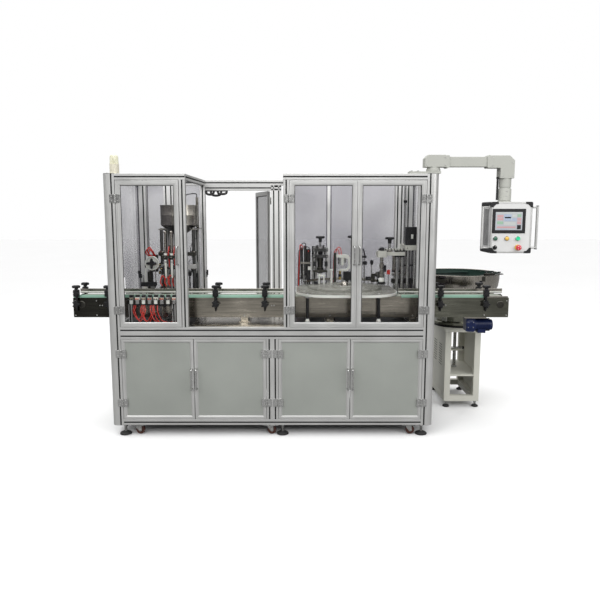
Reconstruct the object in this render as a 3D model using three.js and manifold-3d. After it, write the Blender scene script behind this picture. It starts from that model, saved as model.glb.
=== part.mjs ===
// Piston liquid filler: an enclosed filling and capping line on an aluminium profile frame.
// Millimetres, +Z up. While it is built, x runs from the frame's left end, y from the frame's
// front face and z from the floor; the last lines move the origin to the middle of the footprint.
import * as THREE from 'three';
import { mergeVertices } from 'three/addons/utils/BufferGeometryUtils.js';
import Module from 'manifold-3d';

const wasm = await Module();
wasm.setup();

// Driving dimensions
const PROFILE = 40; // width of a light profile; beams and corner posts are twice as wide
const FRAME_LENGTH = 2200; // two base modules of 1100
const FRAME_DEPTH = 900;
const FRAME_TOP = 1776;
const POST_BOTTOM = 75;
const BEAM_BOTTOM = 78;
const DECK_Z = 760;
const GAP = 0.3; // between pieces that touch
const PANE = 4; // thickness of glass and sheet panels
const DOOR_DEPTH = 20;

const LEFT_BOX_END = 540; // right side of the filling enclosure
const RIGHT_BOX_START = 1180; // left side of the capping enclosure
const MODULE_SEAM = FRAME_LENGTH / 2;
const MID_POST = [MODULE_SEAM - 38, MODULE_SEAM + 42];

const BELT_Y = [198, 332];
const ROLLER_R = 54;
const BELT_THICKNESS = 4;
const ROLLER_Z = 888;
const CONVEYOR = { x0: -296, x1: 2750, front: 190, rear: 340, low: 797, high: 944 };
const ROLLER_X = [CONVEYOR.x0 + 60, CONVEYOR.x1 - 60];

const DIAL = { x: 1622, y: 500, top: 966, thick: 18, x0: 1259, x1: 1985, y0: 80, y1: 800, corner: 240 };
const STAR = { r: 270, pitch: 275, pockets: 8, pocketR: 24, thick: 14 };
const HOPPER = {
  x: 376, y: 640, r: 140, wall: 3, low: 1430, high: 1578, cone: 1345, outletR: 22, outlet: 1326,
};
const BOWL = { x: 2560, y: 900, r: 330, low: 800.6, high: 1046, wall: 5 };
const ARM_PIVOT = [2165, 50];
const PENDANT_PIVOT = [2640, 50];
const PENDANT = { x0: 2524, x1: 2792, y0: -60, y1: 160, z0: 1262, z1: 1594 };

const machine = new THREE.Group();

// Shapes
function box(x0, x1, y0, y1, z0, z1) {
  const shape = new THREE.BoxGeometry(x1 - x0, y1 - y0, z1 - z0);
  return shape.translate((x0 + x1) / 2, (y0 + y1) / 2, (z0 + z1) / 2);
}

// A round bar along x, y or z; a and b are its place on the other two axes, in x, y, z order.
function rod(axis, radius, from, to, a, b, sides = 12, endRadius = radius) {
  const shape = new THREE.CylinderGeometry(endRadius, radius, to - from, sides);
  const middle = (from + to) / 2;
  if (axis === 'x') return shape.rotateZ(-Math.PI / 2).translate(middle, a, b);
  if (axis === 'y') return shape.translate(a, middle, b);
  return shape.rotateX(Math.PI / 2).translate(a, b, middle);
}

function outline(points) {
  return new THREE.Shape(points.map(([u, v]) => new THREE.Vector2(u, v)));
}

// An outline extruded along z (points are x, y), along y (x, z) or along x (y, z).
function prism(axis, shape, from, to, curveSegments = 8) {
  const options = { depth: to - from, bevelEnabled: false, curveSegments };
  const solidShape = new THREE.ExtrudeGeometry(shape, options);
  if (axis === 'z') return solidShape.translate(0, 0, from);
  if (axis === 'y') return solidShape.rotateX(Math.PI / 2).translate(0, to, 0);
  const turn = new THREE.Matrix4().set(0, 0, 1, from, 1, 0, 0, 0, 0, 1, 0, 0, 0, 0, 0, 1);
  return solidShape.applyMatrix4(turn);
}

function rounded(x0, x1, y0, y1, r) {
  const shape = new THREE.Shape();
  shape.moveTo(x0 + r, y0).lineTo(x1 - r, y0).absarc(x1 - r, y0 + r, r, -Math.PI / 2, 0);
  shape.absarc(x1 - r, y1 - r, r, 0, Math.PI / 2).absarc(x0 + r, y1 - r, r, Math.PI / 2, Math.PI);
  shape.absarc(x0 + r, y0 + r, r, Math.PI, Math.PI * 1.5);
  return shape;
}

function revolved(points, sides, x, y) {
  const profile = points.map(([r, z]) => new THREE.Vector2(r, z));
  return new THREE.LatheGeometry(profile, sides).rotateX(Math.PI / 2).translate(x, y, 0);
}

function hose(points, radius, steps, sides = 8) {
  const path = new THREE.CatmullRomCurve3(points.map(([x, y, z]) => new THREE.Vector3(x, y, z)));
  const section = new THREE.Shape();
  for (let i = 0; i < sides; i++) {
    const a = (2 * Math.PI * i) / sides;
    const [u, v] = [radius * Math.cos(a), radius * Math.sin(a)];
    if (i) section.lineTo(u, v);
    else section.moveTo(u, v);
  }
  return new THREE.ExtrudeGeometry(section, { steps, extrudePath: path, bevelEnabled: false });
}

// Boolean work
function toSolid(shape) {
  const bare = shape.clone();
  bare.deleteAttribute('normal');
  bare.deleteAttribute('uv');
  const merged = mergeVertices(bare, 1e-4);
  return new wasm.Manifold(
    new wasm.Mesh({
      numProp: 3,
      vertProperties: merged.attributes.position.array,
      triVerts: Uint32Array.from(merged.index.array),
    }),
  );
}

function piece(name, finish, shapes, cuts = []) {
  let solid = shapes.map(toSolid).reduce((whole, next) => whole.add(next));
  for (const cut of cuts) solid = solid.subtract(toSolid(cut));
  const { vertProperties, triVerts } = solid.getMesh();
  const shape = new THREE.BufferGeometry();
  shape.setAttribute('position', new THREE.BufferAttribute(vertProperties, 3));
  shape.setIndex(new THREE.BufferAttribute(triVerts, 1));
  shape.computeVertexNormals();
  const mesh = new THREE.Mesh(shape, new THREE.MeshStandardMaterial(finish));
  mesh.name = name;
  machine.add(mesh);
}

// Finishes
const ALUMINIUM = { color: 0xc4c6c4, roughness: 0.4, metalness: 0.9 };
const STAINLESS = { color: 0xb5ada0, roughness: 0.25, metalness: 1 };
const SHEET = { color: 0xa6aba2, roughness: 0.5, metalness: 0 };
const GLASS = { color: 0xb9b7c4, roughness: 0.05, metalness: 0 };
const BLACK = { color: 0x151515, roughness: 0.5, metalness: 0 };
const WHITE = { color: 0xe8e8e2, roughness: 0.45, metalness: 0 };
const CASTING = { color: 0xb9bcb2, roughness: 0.5, metalness: 0 };
const NAVY = { color: 0x1f2f63, roughness: 0.45, metalness: 0 };
const RED = { color: 0xc02418, roughness: 0.4, metalness: 0 };
const GREEN = { color: 0x1f8a3c, roughness: 0.4, metalness: 0 };
const BELT = { color: 0xa9c8ba, roughness: 0.5, metalness: 0 };
const WHEEL = { color: 0x5a2b20, roughness: 0.6, metalness: 0 };
const ZINC = { color: 0xb0b2b4, roughness: 0.35, metalness: 0.9 };

// Hinges and handles
const HINGE = { pinY: -8, barrelR: 6, length: 54, leaf: 32, leafThick: 5 };

// The barrel and the moving leaf. side is +1 when the door lies to the right of the pin.
function doorHinges(pinX, side, heights) {
  return heights.flatMap((z) => {
    const [low, high] = [z - HINGE.length / 2, z + HINGE.length / 2];
    const far = pinX + side * HINGE.leaf;
    const [x0, x1] = side > 0 ? [pinX, far] : [far, pinX];
    return [
      rod('z', HINGE.barrelR, low, high, pinX, HINGE.pinY, 8),
      box(x0, x1, -HINGE.leafThick, 2, low, high),
    ];
  });
}

// The fixed leaf on the post, clear of the barrel.
function postLeaves(pinX, side, heights) {
  const near = pinX - side * (HINGE.barrelR + 0.5);
  const far = pinX - side * (HINGE.leaf + 4);
  const [x0, x1] = side > 0 ? [far, near] : [near, far];
  const half = HINGE.length / 2;
  return heights.map((z) => box(x0, x1, -HINGE.leafThick, 2, z - half, z + half));
}

function doorHandle(x, z, length) {
  const grip = { reach: 38, bar: 10, width: 12 };
  const [low, high] = [z - length / 2, z + length / 2];
  const [x0, x1] = [x - grip.width / 2, x + grip.width / 2];
  return [
    box(x0, x1, -grip.reach, grip.bar - grip.reach, low, high),
    box(x0, x1, -grip.reach + 1, 1, low, low + 12),
    box(x0, x1, -grip.reach + 1, 1, high - 12, high),
  ];
}

function frameBars(x0, x1, z0, z1, bar, y0, y1) {
  return [
    box(x0, x0 + bar, y0, y1, z0, z1),
    box(x1 - bar, x1, y0, y1, z0, z1),
    box(x0, x1, y0, y1, z0, z0 + bar),
    box(x0, x1, y0, y1, z1 - bar, z1),
  ];
}

const LOWER_HINGES = [237, 578];
const UPPER_HINGES = [877, 1615];
const LOWER_PINS = [2 * PROFILE + 1, MID_POST[0] - 1, MID_POST[1] + 1, FRAME_LENGTH - 2 * PROFILE - 1];
const UPPER_PINS = [2 * PROFILE + 1, RIGHT_BOX_START + PROFILE + 1, FRAME_LENGTH - 2 * PROFILE - 1];

// Base frame: full-height corner posts with a round outer edge, beams, feet and sheet panels
function cornerPost(atRight, atRear) {
  const [cx, cy] = [atRight ? FRAME_LENGTH : 0, atRear ? FRAME_DEPTH : 0];
  const [sx, sy] = [atRight ? -1 : 1, atRear ? -1 : 1];
  const points = [];
  const steps = 5;
  for (let i = 0; i <= steps; i++) {
    const a = Math.PI + (i / steps) * (Math.PI / 2);
    points.push([PROFILE + PROFILE * Math.cos(a), PROFILE + PROFILE * Math.sin(a)]);
  }
  points.push([2 * PROFILE, 0], [2 * PROFILE, 2 * PROFILE], [0, 2 * PROFILE]);
  const placed = points.map(([u, v]) => [cx + sx * u, cy + sy * v]);
  return prism('z', outline(placed), POST_BOTTOM, FRAME_TOP);
}

const SIDE = 2 * PROFILE;
const SIDE_STILE = [2136, 2174, 380, 418];
const FOOT_X = [79, 1170, 2131];
const FOOT_Y = [45, FRAME_DEPTH - 45];
const CASTERS = [
  ['front_left', 169, 45],
  ['front_middle', 1081, 45],
  ['front_right', 2040, 45],
  ['rear_left', 169, FRAME_DEPTH - 45],
  ['rear_right', 2040, FRAME_DEPTH - 45],
];

function levellingFoot(x, y) {
  return [
    rod('z', 40, 0, 10, x, y, 10),
    rod('z', 12, 9, BEAM_BOTTOM + 6, x, y, 6),
  ];
}

const baseParts = [];
for (const atRight of [false, true]) {
  for (const atRear of [false, true]) baseParts.push(cornerPost(atRight, atRear));
}
const REAR_FACE = FRAME_DEPTH - PROFILE;
for (const y of [0, REAR_FACE]) {
  baseParts.push(box(SIDE - 1, FRAME_LENGTH - SIDE + 1, y, y + PROFILE, BEAM_BOTTOM, BEAM_BOTTOM + 40));
  baseParts.push(box(SIDE - 1, FRAME_LENGTH - SIDE + 1, y, y + PROFILE, DECK_Z - 80, DECK_Z));
  baseParts.push(box(...MID_POST, y, y + PROFILE, POST_BOTTOM, DECK_Z - 40));
}
for (const x of [0, FRAME_LENGTH - PROFILE]) {
  baseParts.push(box(x, x + PROFILE, SIDE - 1, FRAME_DEPTH - SIDE + 1, BEAM_BOTTOM, BEAM_BOTTOM + 40));
  baseParts.push(box(x, x + PROFILE, SIDE - 1, FRAME_DEPTH - SIDE + 1, DECK_Z - 80, DECK_Z));
  baseParts.push(box(x, x + PROFILE, SIDE - 1, FRAME_DEPTH - SIDE + 1, FRAME_TOP - PROFILE, FRAME_TOP));
  const wall = x + PROFILE / 2;
  const [y0, y1] = [SIDE - 1, FRAME_DEPTH - SIDE + 1];
  baseParts.push(box(wall - PANE / 2, wall + PANE / 2, y0, y1, BEAM_BOTTOM + 39, DECK_Z - 79));
}
const REAR_WALL = REAR_FACE + PROFILE / 2;
for (const [x0, x1] of [[SIDE - 1, MID_POST[0] + 1], [MID_POST[1] - 1, FRAME_LENGTH - SIDE + 1]]) {
  const sheet = box(x0, x1, REAR_WALL - PANE / 2, REAR_WALL + PANE / 2, BEAM_BOTTOM + 39, DECK_Z - 79);
  baseParts.push(sheet);
}
const DECK_SHEET = 4;
for (const z of [BEAM_BOTTOM, DECK_Z - DECK_SHEET - GAP - PROFILE]) {
  baseParts.push(box(...MID_POST, PROFILE - 1, REAR_FACE + 1, z, z + PROFILE));
}
for (const x of FOOT_X) {
  for (const y of FOOT_Y) baseParts.push(...levellingFoot(x, y));
}
const CASTER_PLATE = [70, BEAM_BOTTOM + 2];
for (const [, x, y] of CASTERS) {
  baseParts.push(box(x - 45, x + 45, y - 38, y + 38, ...CASTER_PLATE));
}
baseParts.push(box(...SIDE_STILE, DECK_Z + GAP, FRAME_TOP - PROFILE + 4));
LOWER_PINS.forEach((pin, i) => {
  baseParts.push(...postLeaves(pin, i % 2 ? -1 : 1, LOWER_HINGES));
});
baseParts.push(...postLeaves(UPPER_PINS[0], 1, UPPER_HINGES));
baseParts.push(...postLeaves(UPPER_PINS[2], -1, UPPER_HINGES));
piece('base_frame', ALUMINIUM, baseParts);

// Deck plate, notched round the corner posts
const DECK_EDGE = PROFILE + GAP;
const CORNER = SIDE + GAP;
piece('deck_plate', STAINLESS, [
  box(CORNER, FRAME_LENGTH - CORNER, DECK_EDGE, FRAME_DEPTH - DECK_EDGE, DECK_Z - DECK_SHEET, DECK_Z),
  box(DECK_EDGE, FRAME_LENGTH - DECK_EDGE, CORNER, FRAME_DEPTH - CORNER, DECK_Z - DECK_SHEET, DECK_Z),
]);

// Upper frames
const ON_DECK = DECK_Z + GAP;
const TOP_BEAM = [FRAME_TOP - PROFILE, FRAME_TOP];
const BAY_BEAM_LOW = FRAME_TOP - 80;
function post(x0, x1, y) {
  return box(x0, x1, y, y + PROFILE, ON_DECK, FRAME_TOP);
}

piece('left_enclosure_frame', ALUMINIUM, [
  post(LEFT_BOX_END - PROFILE, LEFT_BOX_END, 0),
  post(LEFT_BOX_END - PROFILE, LEFT_BOX_END, REAR_FACE),
  box(CORNER, LEFT_BOX_END, 0, PROFILE, ...TOP_BEAM),
  box(CORNER, LEFT_BOX_END, REAR_FACE, FRAME_DEPTH, ...TOP_BEAM),
  box(LEFT_BOX_END - PROFILE, LEFT_BOX_END, 10, FRAME_DEPTH - 10, ...TOP_BEAM),
  box(LEFT_BOX_END - 1, MID_POST[1], REAR_FACE, FRAME_DEPTH, BAY_BEAM_LOW, FRAME_TOP),
  post(...MID_POST, REAR_FACE),
]);

const REAR_MID_POST = 1500;
const ARM_PLATE = { x0: 2005, x1: 2207, y0: 4, y1: 96, thick: 14 };
piece('right_enclosure_frame', ALUMINIUM, [
  post(RIGHT_BOX_START, RIGHT_BOX_START + PROFILE, 0),
  post(RIGHT_BOX_START, RIGHT_BOX_START + PROFILE, REAR_FACE),
  post(REAR_MID_POST, REAR_MID_POST + PROFILE, REAR_FACE),
  box(RIGHT_BOX_START, RIGHT_BOX_START + PROFILE, 10, FRAME_DEPTH - 10, ...TOP_BEAM),
  box(RIGHT_BOX_START, FRAME_LENGTH - CORNER, 0, PROFILE, ...TOP_BEAM),
  box(MID_POST[1] + GAP, FRAME_LENGTH - CORNER, REAR_FACE, FRAME_DEPTH, ...TOP_BEAM),
  ...postLeaves(UPPER_PINS[1], 1, UPPER_HINGES),
  box(ARM_PLATE.x0, FRAME_LENGTH - CORNER, ARM_PLATE.y0, PROFILE, FRAME_TOP - 2, FRAME_TOP + 2),
  box(ARM_PLATE.x0, ARM_PLATE.x1, ARM_PLATE.y0, ARM_PLATE.y1, FRAME_TOP + GAP, FRAME_TOP + ARM_PLATE.thick),
]);

// Glass panes: side panes are notched over the conveyor, the right one also for the cap track
const NOTCH = { y0: 160, y1: 385, top: 1060 };
const TRACK = { y0: 590, y1: 640, low: 990, high: 1022 };
function sidePane(name, x, y0, y1, cuts = []) {
  const points = [
    [y0, ON_DECK], [NOTCH.y0, ON_DECK], [NOTCH.y0, NOTCH.top], [NOTCH.y1, NOTCH.top],
    [NOTCH.y1, ON_DECK], [y1, ON_DECK], [y1, TOP_BEAM[0] - GAP], [y0, TOP_BEAM[0] - GAP],
  ];
  const pane = prism('x', outline(points), x - PANE / 2, x + PANE / 2);
  piece(name, GLASS, [pane], cuts);
}
const HALF = PROFILE / 2;
const trackHole = box(
  FRAME_LENGTH - PROFILE, FRAME_LENGTH, TRACK.y0 - 20, TRACK.y1 + 20, TRACK.low - 20, TRACK.high + 50,
);
sidePane('left_side_glass', HALF, CORNER, FRAME_DEPTH - CORNER);
sidePane('left_bay_glass', LEFT_BOX_END - HALF, DECK_EDGE, FRAME_DEPTH - DECK_EDGE);
sidePane('right_bay_glass', RIGHT_BOX_START + HALF, DECK_EDGE, FRAME_DEPTH - DECK_EDGE);
sidePane('right_side_glass', FRAME_LENGTH - HALF, CORNER, FRAME_DEPTH - CORNER, [trackHole]);

function rearPane(name, x0, x1, y) {
  piece(name, GLASS, [box(x0, x1, y, y + PANE, ON_DECK, TOP_BEAM[0] - GAP)]);
}
rearPane('left_rear_glass', CORNER, LEFT_BOX_END - PROFILE - GAP, REAR_WALL - PANE / 2);
const RIGHT_REAR_PANE_Y = REAR_FACE - GAP - PANE;
rearPane('right_rear_glass', RIGHT_BOX_START + PROFILE + GAP, FRAME_LENGTH - CORNER, RIGHT_REAR_PANE_Y);

// Lower doors: a sheet in an aluminium frame, hinged on the corner and middle posts
const LOWER_DOOR = { z0: 120, z1: 678, bar: 24, clear: 2 };
const LOWER_SPANS = [
  [SIDE, 571], [571, MID_POST[0]], [MID_POST[1], 1631], [1631, FRAME_LENGTH - SIDE],
];
LOWER_SPANS.forEach(([from, to], i) => {
  const hingeSide = i % 2 ? -1 : 1;
  const [x0, x1] = [from + LOWER_DOOR.clear, to - LOWER_DOOR.clear];
  const handleX = hingeSide > 0 ? x1 - 14 : x0 + 14;
  const { z0, z1, bar } = LOWER_DOOR;
  piece(`lower_door_${i + 1}`, SHEET, [
    ...frameBars(x0, x1, z0, z1, bar, 0, DOOR_DEPTH),
    box(x0 + bar - 1, x1 - bar + 1, 8, 8 + PANE, z0 + bar - 1, z1 - bar + 1),
    ...doorHinges(LOWER_PINS[i], hingeSide, LOWER_HINGES),
    ...doorHandle(handleX, 405, 150),
  ]);
});

// Glazed doors
const UPPER_DOOR = { z0: 762, z1: 1733, bar: 32 };
const UPPER_DOORS = [
  { name: 'left_door', x0: 83, x1: 496, pin: UPPER_PINS[0], side: 1 },
  { name: 'right_door_a', x0: 1222, x1: 1665, pin: UPPER_PINS[1], side: 1 },
  { name: 'right_door_b', x0: 1667, x1: 2117, pin: UPPER_PINS[2], side: -1 },
];
for (const { name, x0, x1, pin, side } of UPPER_DOORS) {
  const { z0, z1, bar } = UPPER_DOOR;
  const handleX = side > 0 ? x1 - bar / 2 : x0 + bar / 2;
  piece(name, ALUMINIUM, [
    ...frameBars(x0, x1, z0, z1, bar, 0, DOOR_DEPTH),
    ...doorHinges(pin, side, UPPER_HINGES),
    ...doorHandle(handleX, 1245, 130),
  ]);
  const inset = bar + GAP;
  piece(`${name}_glass`, GLASS, [box(x0 + inset, x1 - inset, 8, 8 + PANE, z0 + inset, z1 - inset)]);
}

// Rear door of the open bay, drawn shut and then swung out on its pin
const REAR_DOOR = { x0: 545, pinX: MID_POST[0] - 1, pinY: FRAME_DEPTH + 8, open: 75, z0: 766, z1: 1690 };
function rearDoor() {
  const { x0, pinX, pinY, open, z0, z1 } = REAR_DOOR;
  const swing = new THREE.Matrix4().makeTranslation(pinX, pinY, 0);
  swing.multiply(new THREE.Matrix4().makeRotationZ(THREE.MathUtils.degToRad(-open)));
  swing.multiply(new THREE.Matrix4().makeTranslation(-pinX, -pinY, 0));
  const shut = [
    ...frameBars(x0, pinX - 2, z0, z1, 30, FRAME_DEPTH - DOOR_DEPTH, FRAME_DEPTH),
    box(x0 + 29, pinX - 31, FRAME_DEPTH - 12, FRAME_DEPTH - 12 + PANE, z0 + 29, z1 - 29),
  ];
  for (const z of UPPER_HINGES) {
    shut.push(rod('z', HINGE.barrelR, z - 27, z + 27, pinX, pinY, 10));
    shut.push(box(pinX - HINGE.leaf, pinX, FRAME_DEPTH - 2, FRAME_DEPTH + 5, z - 27, z + 27));
  }
  return shut.map((shape) => shape.applyMatrix4(swing));
}
piece('rear_door', ALUMINIUM, rearDoor());

// Signal beacon on the left side beam
piece('beacon', WHITE, [
  box(6, 92, 62, 138, FRAME_TOP + GAP, FRAME_TOP + 5),
  rod('z', 31, FRAME_TOP + 4, 1843, 57, 100, 20),
  rod('z', 29, 1842, 1902, 57, 100, 20, 26),
]);

// Casters: a fork that swivels under its plate and a wheel on its axle
const WHEEL_R = 30;
const WHEEL_Z = WHEEL_R + 3;
const TRAIL = 14;
for (const [place, x, y] of CASTERS) {
  const axleX = x + TRAIL;
  const crown = CASTER_PLATE[0] - GAP;
  piece(`caster_fork_${place}`, ZINC, [
    box(x - 20, axleX + 12, y - 18, y - 15, WHEEL_Z - 8, crown),
    box(x - 20, axleX + 12, y + 15, y + 18, WHEEL_Z - 8, crown),
    box(x - 20, x + 20, y - 18, y + 18, crown - 4.5, crown),
    rod('y', 4, y - 20, y + 20, axleX, WHEEL_Z, 8),
  ]);
  const wheel = rod('y', WHEEL_R, y - 12, y + 12, axleX, WHEEL_Z, 18);
  const bore = rod('y', 4.8, y - 13, y + 13, axleX, WHEEL_Z, 8);
  piece(`caster_wheel_${place}`, WHEEL, [wheel], [bore]);
}

// Conveyor: side plates, spacers, legs on the deck, guide rails and their clamps
const CLAMP_X = [-264, -47, 702, 1045, 2268, 2585];
const GUIDE_SPANS = [[CONVEYOR.x0 + 6, DIAL.x0 - 12], [DIAL.x1 + 12, CONVEYOR.x1 - 6]];
const conveyorParts = [
  box(CONVEYOR.x0, CONVEYOR.x1, CONVEYOR.front, CONVEYOR.front + 4, CONVEYOR.low, CONVEYOR.high),
  box(CONVEYOR.x0, CONVEYOR.x1, CONVEYOR.rear - 4, CONVEYOR.rear, CONVEYOR.low, CONVEYOR.high),
];
for (const x of [-100, 500, 1100, 1700, 2300]) {
  conveyorParts.push(box(x - 15, x + 15, CONVEYOR.front + 1, CONVEYOR.rear - 1, 870, 892));
}
for (const x of [300, 900, 1500, 2080]) {
  conveyorParts.push(box(x - 25, x + 25, CONVEYOR.front + 1, CONVEYOR.rear - 1, ON_DECK, 806));
}
for (const [x0, x1] of GUIDE_SPANS) {
  conveyorParts.push(box(x0, x1, CONVEYOR.front - 4, CONVEYOR.front + 1, 936, 957));
  conveyorParts.push(box(x0, x1, 328, 331, 951, 983));
}
function guideClamp(x) {
  const [frontY, rearY] = [174, 356];
  return [
    box(x - 14, x + 14, frontY - 8, CONVEYOR.front + 1, 880, 912),
    box(x - 7, x + 7, frontY - 6, frontY + 6, 911, 1011),
    rod('z', 11, 1010, 1022, x, frontY, 8, 17),
    box(x - 14, x + 14, CONVEYOR.rear - 1, rearY + 8, 880, 912),
    box(x - 7, x + 7, rearY - 6, rearY + 6, 911, 1011),
    box(x - 6, x + 6, 329, rearY, 962, 974),
    rod('z', 11, 1010, 1022, x, rearY, 8, 17),
  ];
}
for (const x of CLAMP_X) conveyorParts.push(...guideClamp(x));
for (const x of ROLLER_X) {
  conveyorParts.push(rod('y', 28, CONVEYOR.front - 8, CONVEYOR.front + 1, x, ROLLER_Z, 12));
  conveyorParts.push(rod('y', 28, CONVEYOR.rear - 1, CONVEYOR.rear + 8, x, ROLLER_Z, 12));
}
piece('conveyor_frame', STAINLESS, conveyorParts);

// The belt is a closed loop round both rollers
function beltLoop(radius) {
  const loop = new THREE.Shape();
  loop.absarc(ROLLER_X[1], ROLLER_Z, radius, -Math.PI / 2, Math.PI / 2);
  loop.absarc(ROLLER_X[0], ROLLER_Z, radius, Math.PI / 2, Math.PI * 1.5);
  return loop;
}
const BELT_SEGMENTS = 12;
piece(
  'conveyor_belt',
  BELT,
  [prism('y', beltLoop(ROLLER_R + BELT_THICKNESS), ...BELT_Y, BELT_SEGMENTS)],
  [prism('y', beltLoop(ROLLER_R), BELT_Y[0] - 1, BELT_Y[1] + 1, BELT_SEGMENTS)],
);
['tail_roller', 'drive_roller'].forEach((name, i) => {
  const x = ROLLER_X[i];
  const roller = rod('y', ROLLER_R - 1.5, BELT_Y[0] + 2, BELT_Y[1] - 2, x, ROLLER_Z, 16);
  const shaft = rod('y', 12, CONVEYOR.front + 4.4, CONVEYOR.rear - 4.4, x, ROLLER_Z, 10);
  piece(name, ZINC, [roller, shaft]);
});

// Gearmotor hung under the conveyor's right end
piece('drive_motor', NAVY, [
  box(2450, 2600, CONVEYOR.front + 6, CONVEYOR.rear - 6, 786, CONVEYOR.low - GAP),
  box(2468, 2530, 222, 308, 684, 787),
  rod('x', 46, 2528, 2640, 265, 732, 16),
  rod('x', 38, 2638, 2660, 265, 732, 16),
]);

// Dial table on legs, and the indexing star wheel
const DIAL_LEGS = [[1342, 150], [1836, 150], [1342, 720], [1836, 720]];
piece('dial_table', WHITE, [
  prism('z', rounded(DIAL.x0, DIAL.x1, DIAL.y0, DIAL.y1, DIAL.corner), DIAL.top - DIAL.thick, DIAL.top, 7),
  ...DIAL_LEGS.flatMap(([x, y]) => [
    rod('z', 10, ON_DECK + 30, DIAL.top - DIAL.thick + 2, x, y, 8),
    rod('z', 13, ON_DECK, ON_DECK + 34, x, y, 8),
  ]),
]);

const starPockets = [];
for (let i = 0; i < STAR.pockets; i++) {
  const a = (2 * Math.PI * i) / STAR.pockets;
  const [x, y] = [DIAL.x + STAR.pitch * Math.cos(a), DIAL.y + STAR.pitch * Math.sin(a)];
  starPockets.push(rod('z', STAR.pocketR, DIAL.top - 5, DIAL.top + 40, x, y, 8));
}
const starLow = DIAL.top + GAP;
piece(
  'star_wheel',
  WHITE,
  [
    rod('z', STAR.r, starLow, starLow + STAR.thick, DIAL.x, DIAL.y, 36),
    rod('z', 98, starLow + 1, starLow + STAR.thick + 6, DIAL.x, DIAL.y, 20),
    rod('z', 30, starLow + 1, starLow + STAR.thick + 34, DIAL.x, DIAL.y, 16, 24),
  ],
  starPockets,
);

// Filling station: frame, hopper, metering cylinders, crosshead and nozzles
const NOZZLES = [343, 386];
const NOZZLE_Y = 265;
const CYLINDERS = [300, 410];
const CYLINDER_Y = 470;
const GUIDE_RODS = [258, 496];
const GUIDE_R = 12;
const CROSS_X = [236, 515];
const GUIDE_Y = 540;
const HOPPER_PLATE = [1396, 1404];
const CONE_SLOPE = (HOPPER.r - HOPPER.outletR) / (HOPPER.low - HOPPER.cone);
const coneAt = (z) => HOPPER.outletR + CONE_SLOPE * (z - HOPPER.cone);
piece(
  'filling_frame',
  ALUMINIUM,
  [
    box(200, 515, 420, 830, ON_DECK, 774),
    ...GUIDE_RODS.map((x) => rod('z', GUIDE_R, 773, HOPPER_PLATE[1], x, GUIDE_Y, 12)),
    ...GUIDE_RODS.map((x) => box(x - 18, x + 18, 522, 601, ...HOPPER_PLATE)),
    ...[240, 480].map((x) => box(x - 14, x + 14, 790, 818, 773, HOPPER_PLATE[1])),
    box(226, 514, 600, 818, ...HOPPER_PLATE),
    box(220, 300, 816, 856, 773, 1730),
  ],
  [rod('z', coneAt(HOPPER_PLATE[1]) + 1, HOPPER_PLATE[0] - 1, HOPPER_PLATE[1] + 1, HOPPER.x, HOPPER.y, 24)],
);

piece('hopper', STAINLESS, [
  revolved(
    [
      [HOPPER.outletR, HOPPER.outlet], [HOPPER.outletR, HOPPER.cone], [HOPPER.r, HOPPER.low],
      [HOPPER.r, HOPPER.high], [HOPPER.r - HOPPER.wall, HOPPER.high],
      [HOPPER.r - HOPPER.wall, HOPPER.low + 1.5], [HOPPER.outletR - HOPPER.wall, HOPPER.cone + 1.5],
      [HOPPER.outletR - HOPPER.wall, HOPPER.outlet], [HOPPER.outletR, HOPPER.outlet],
    ],
    24, HOPPER.x, HOPPER.y,
  ),
]);

const cylinderParts = [box(262, 448, 430, 512, 860, 900), box(275, 435, 440, 500, 1046, 1064)];
for (const x of CYLINDERS) {
  cylinderParts.push(rod('z', 28, 898, 1048, x, CYLINDER_Y, 16));
  cylinderParts.push(rod('y', 12, 400, 432, x, 880, 8));
  cylinderParts.push(box(x - 16, x + 16, 454, 486, 774 + GAP, 862));
}
const pistonBores = CYLINDERS.map((x) => rod('z', 9, 940, 1070, x, CYLINDER_Y, 12));
piece('cylinder_block', STAINLESS, cylinderParts, pistonBores);

const crossheadBores = GUIDE_RODS.map((x) => rod('z', GUIDE_R + 0.8, 1100, 1160, x, GUIDE_Y, 12));
piece(
  'piston_crosshead',
  ALUMINIUM,
  [
    box(...CROSS_X, 515, 554, 1110, 1140),
    box(280, 430, 448, 520, 1110, 1130),
    ...CYLINDERS.map((x) => rod('z', 8.5, 960, 1112, x, CYLINDER_Y, 12)),
  ],
  crossheadBores,
);

const nozzleBores = GUIDE_RODS.map((x) => rod('z', GUIDE_R + 0.8, 1190, 1250, x, GUIDE_Y, 12));
piece(
  'nozzle_bar',
  STAINLESS,
  [
    box(...CROSS_X, 516, 554, 1205, 1232),
    box(318, 410, 250, 520, 1205, 1226),
    ...NOZZLES.flatMap((x) => [
      rod('z', 8, 1082, 1396, x, NOZZLE_Y, 8),
      rod('z', 4, 1066, 1083, x, NOZZLE_Y, 8),
      rod('z', 12, 1198, 1236, x, NOZZLE_Y, 8),
    ]),
  ],
  nozzleBores,
);

// Stroke handwheel: a pale disc with a star knob, facing the front
const HANDWHEEL = { x: 216, z: 1160 };
piece('volume_handwheel', WHITE, [
  rod('y', 52, 392, 400, HANDWHEEL.x, HANDWHEEL.z, 24),
  rod('y', 20, 366, 393, HANDWHEEL.x, HANDWHEEL.z, 12),
  ...[0, 1].map((i) => {
    const arm = box(-34, 34, 366, 382, -9, 9);
    return arm.rotateY((i * Math.PI) / 2).translate(HANDWHEEL.x, 0, HANDWHEEL.z);
  }),
  rod('y', 6, 399, 500, HANDWHEEL.x, HANDWHEEL.z, 10),
]);

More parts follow.
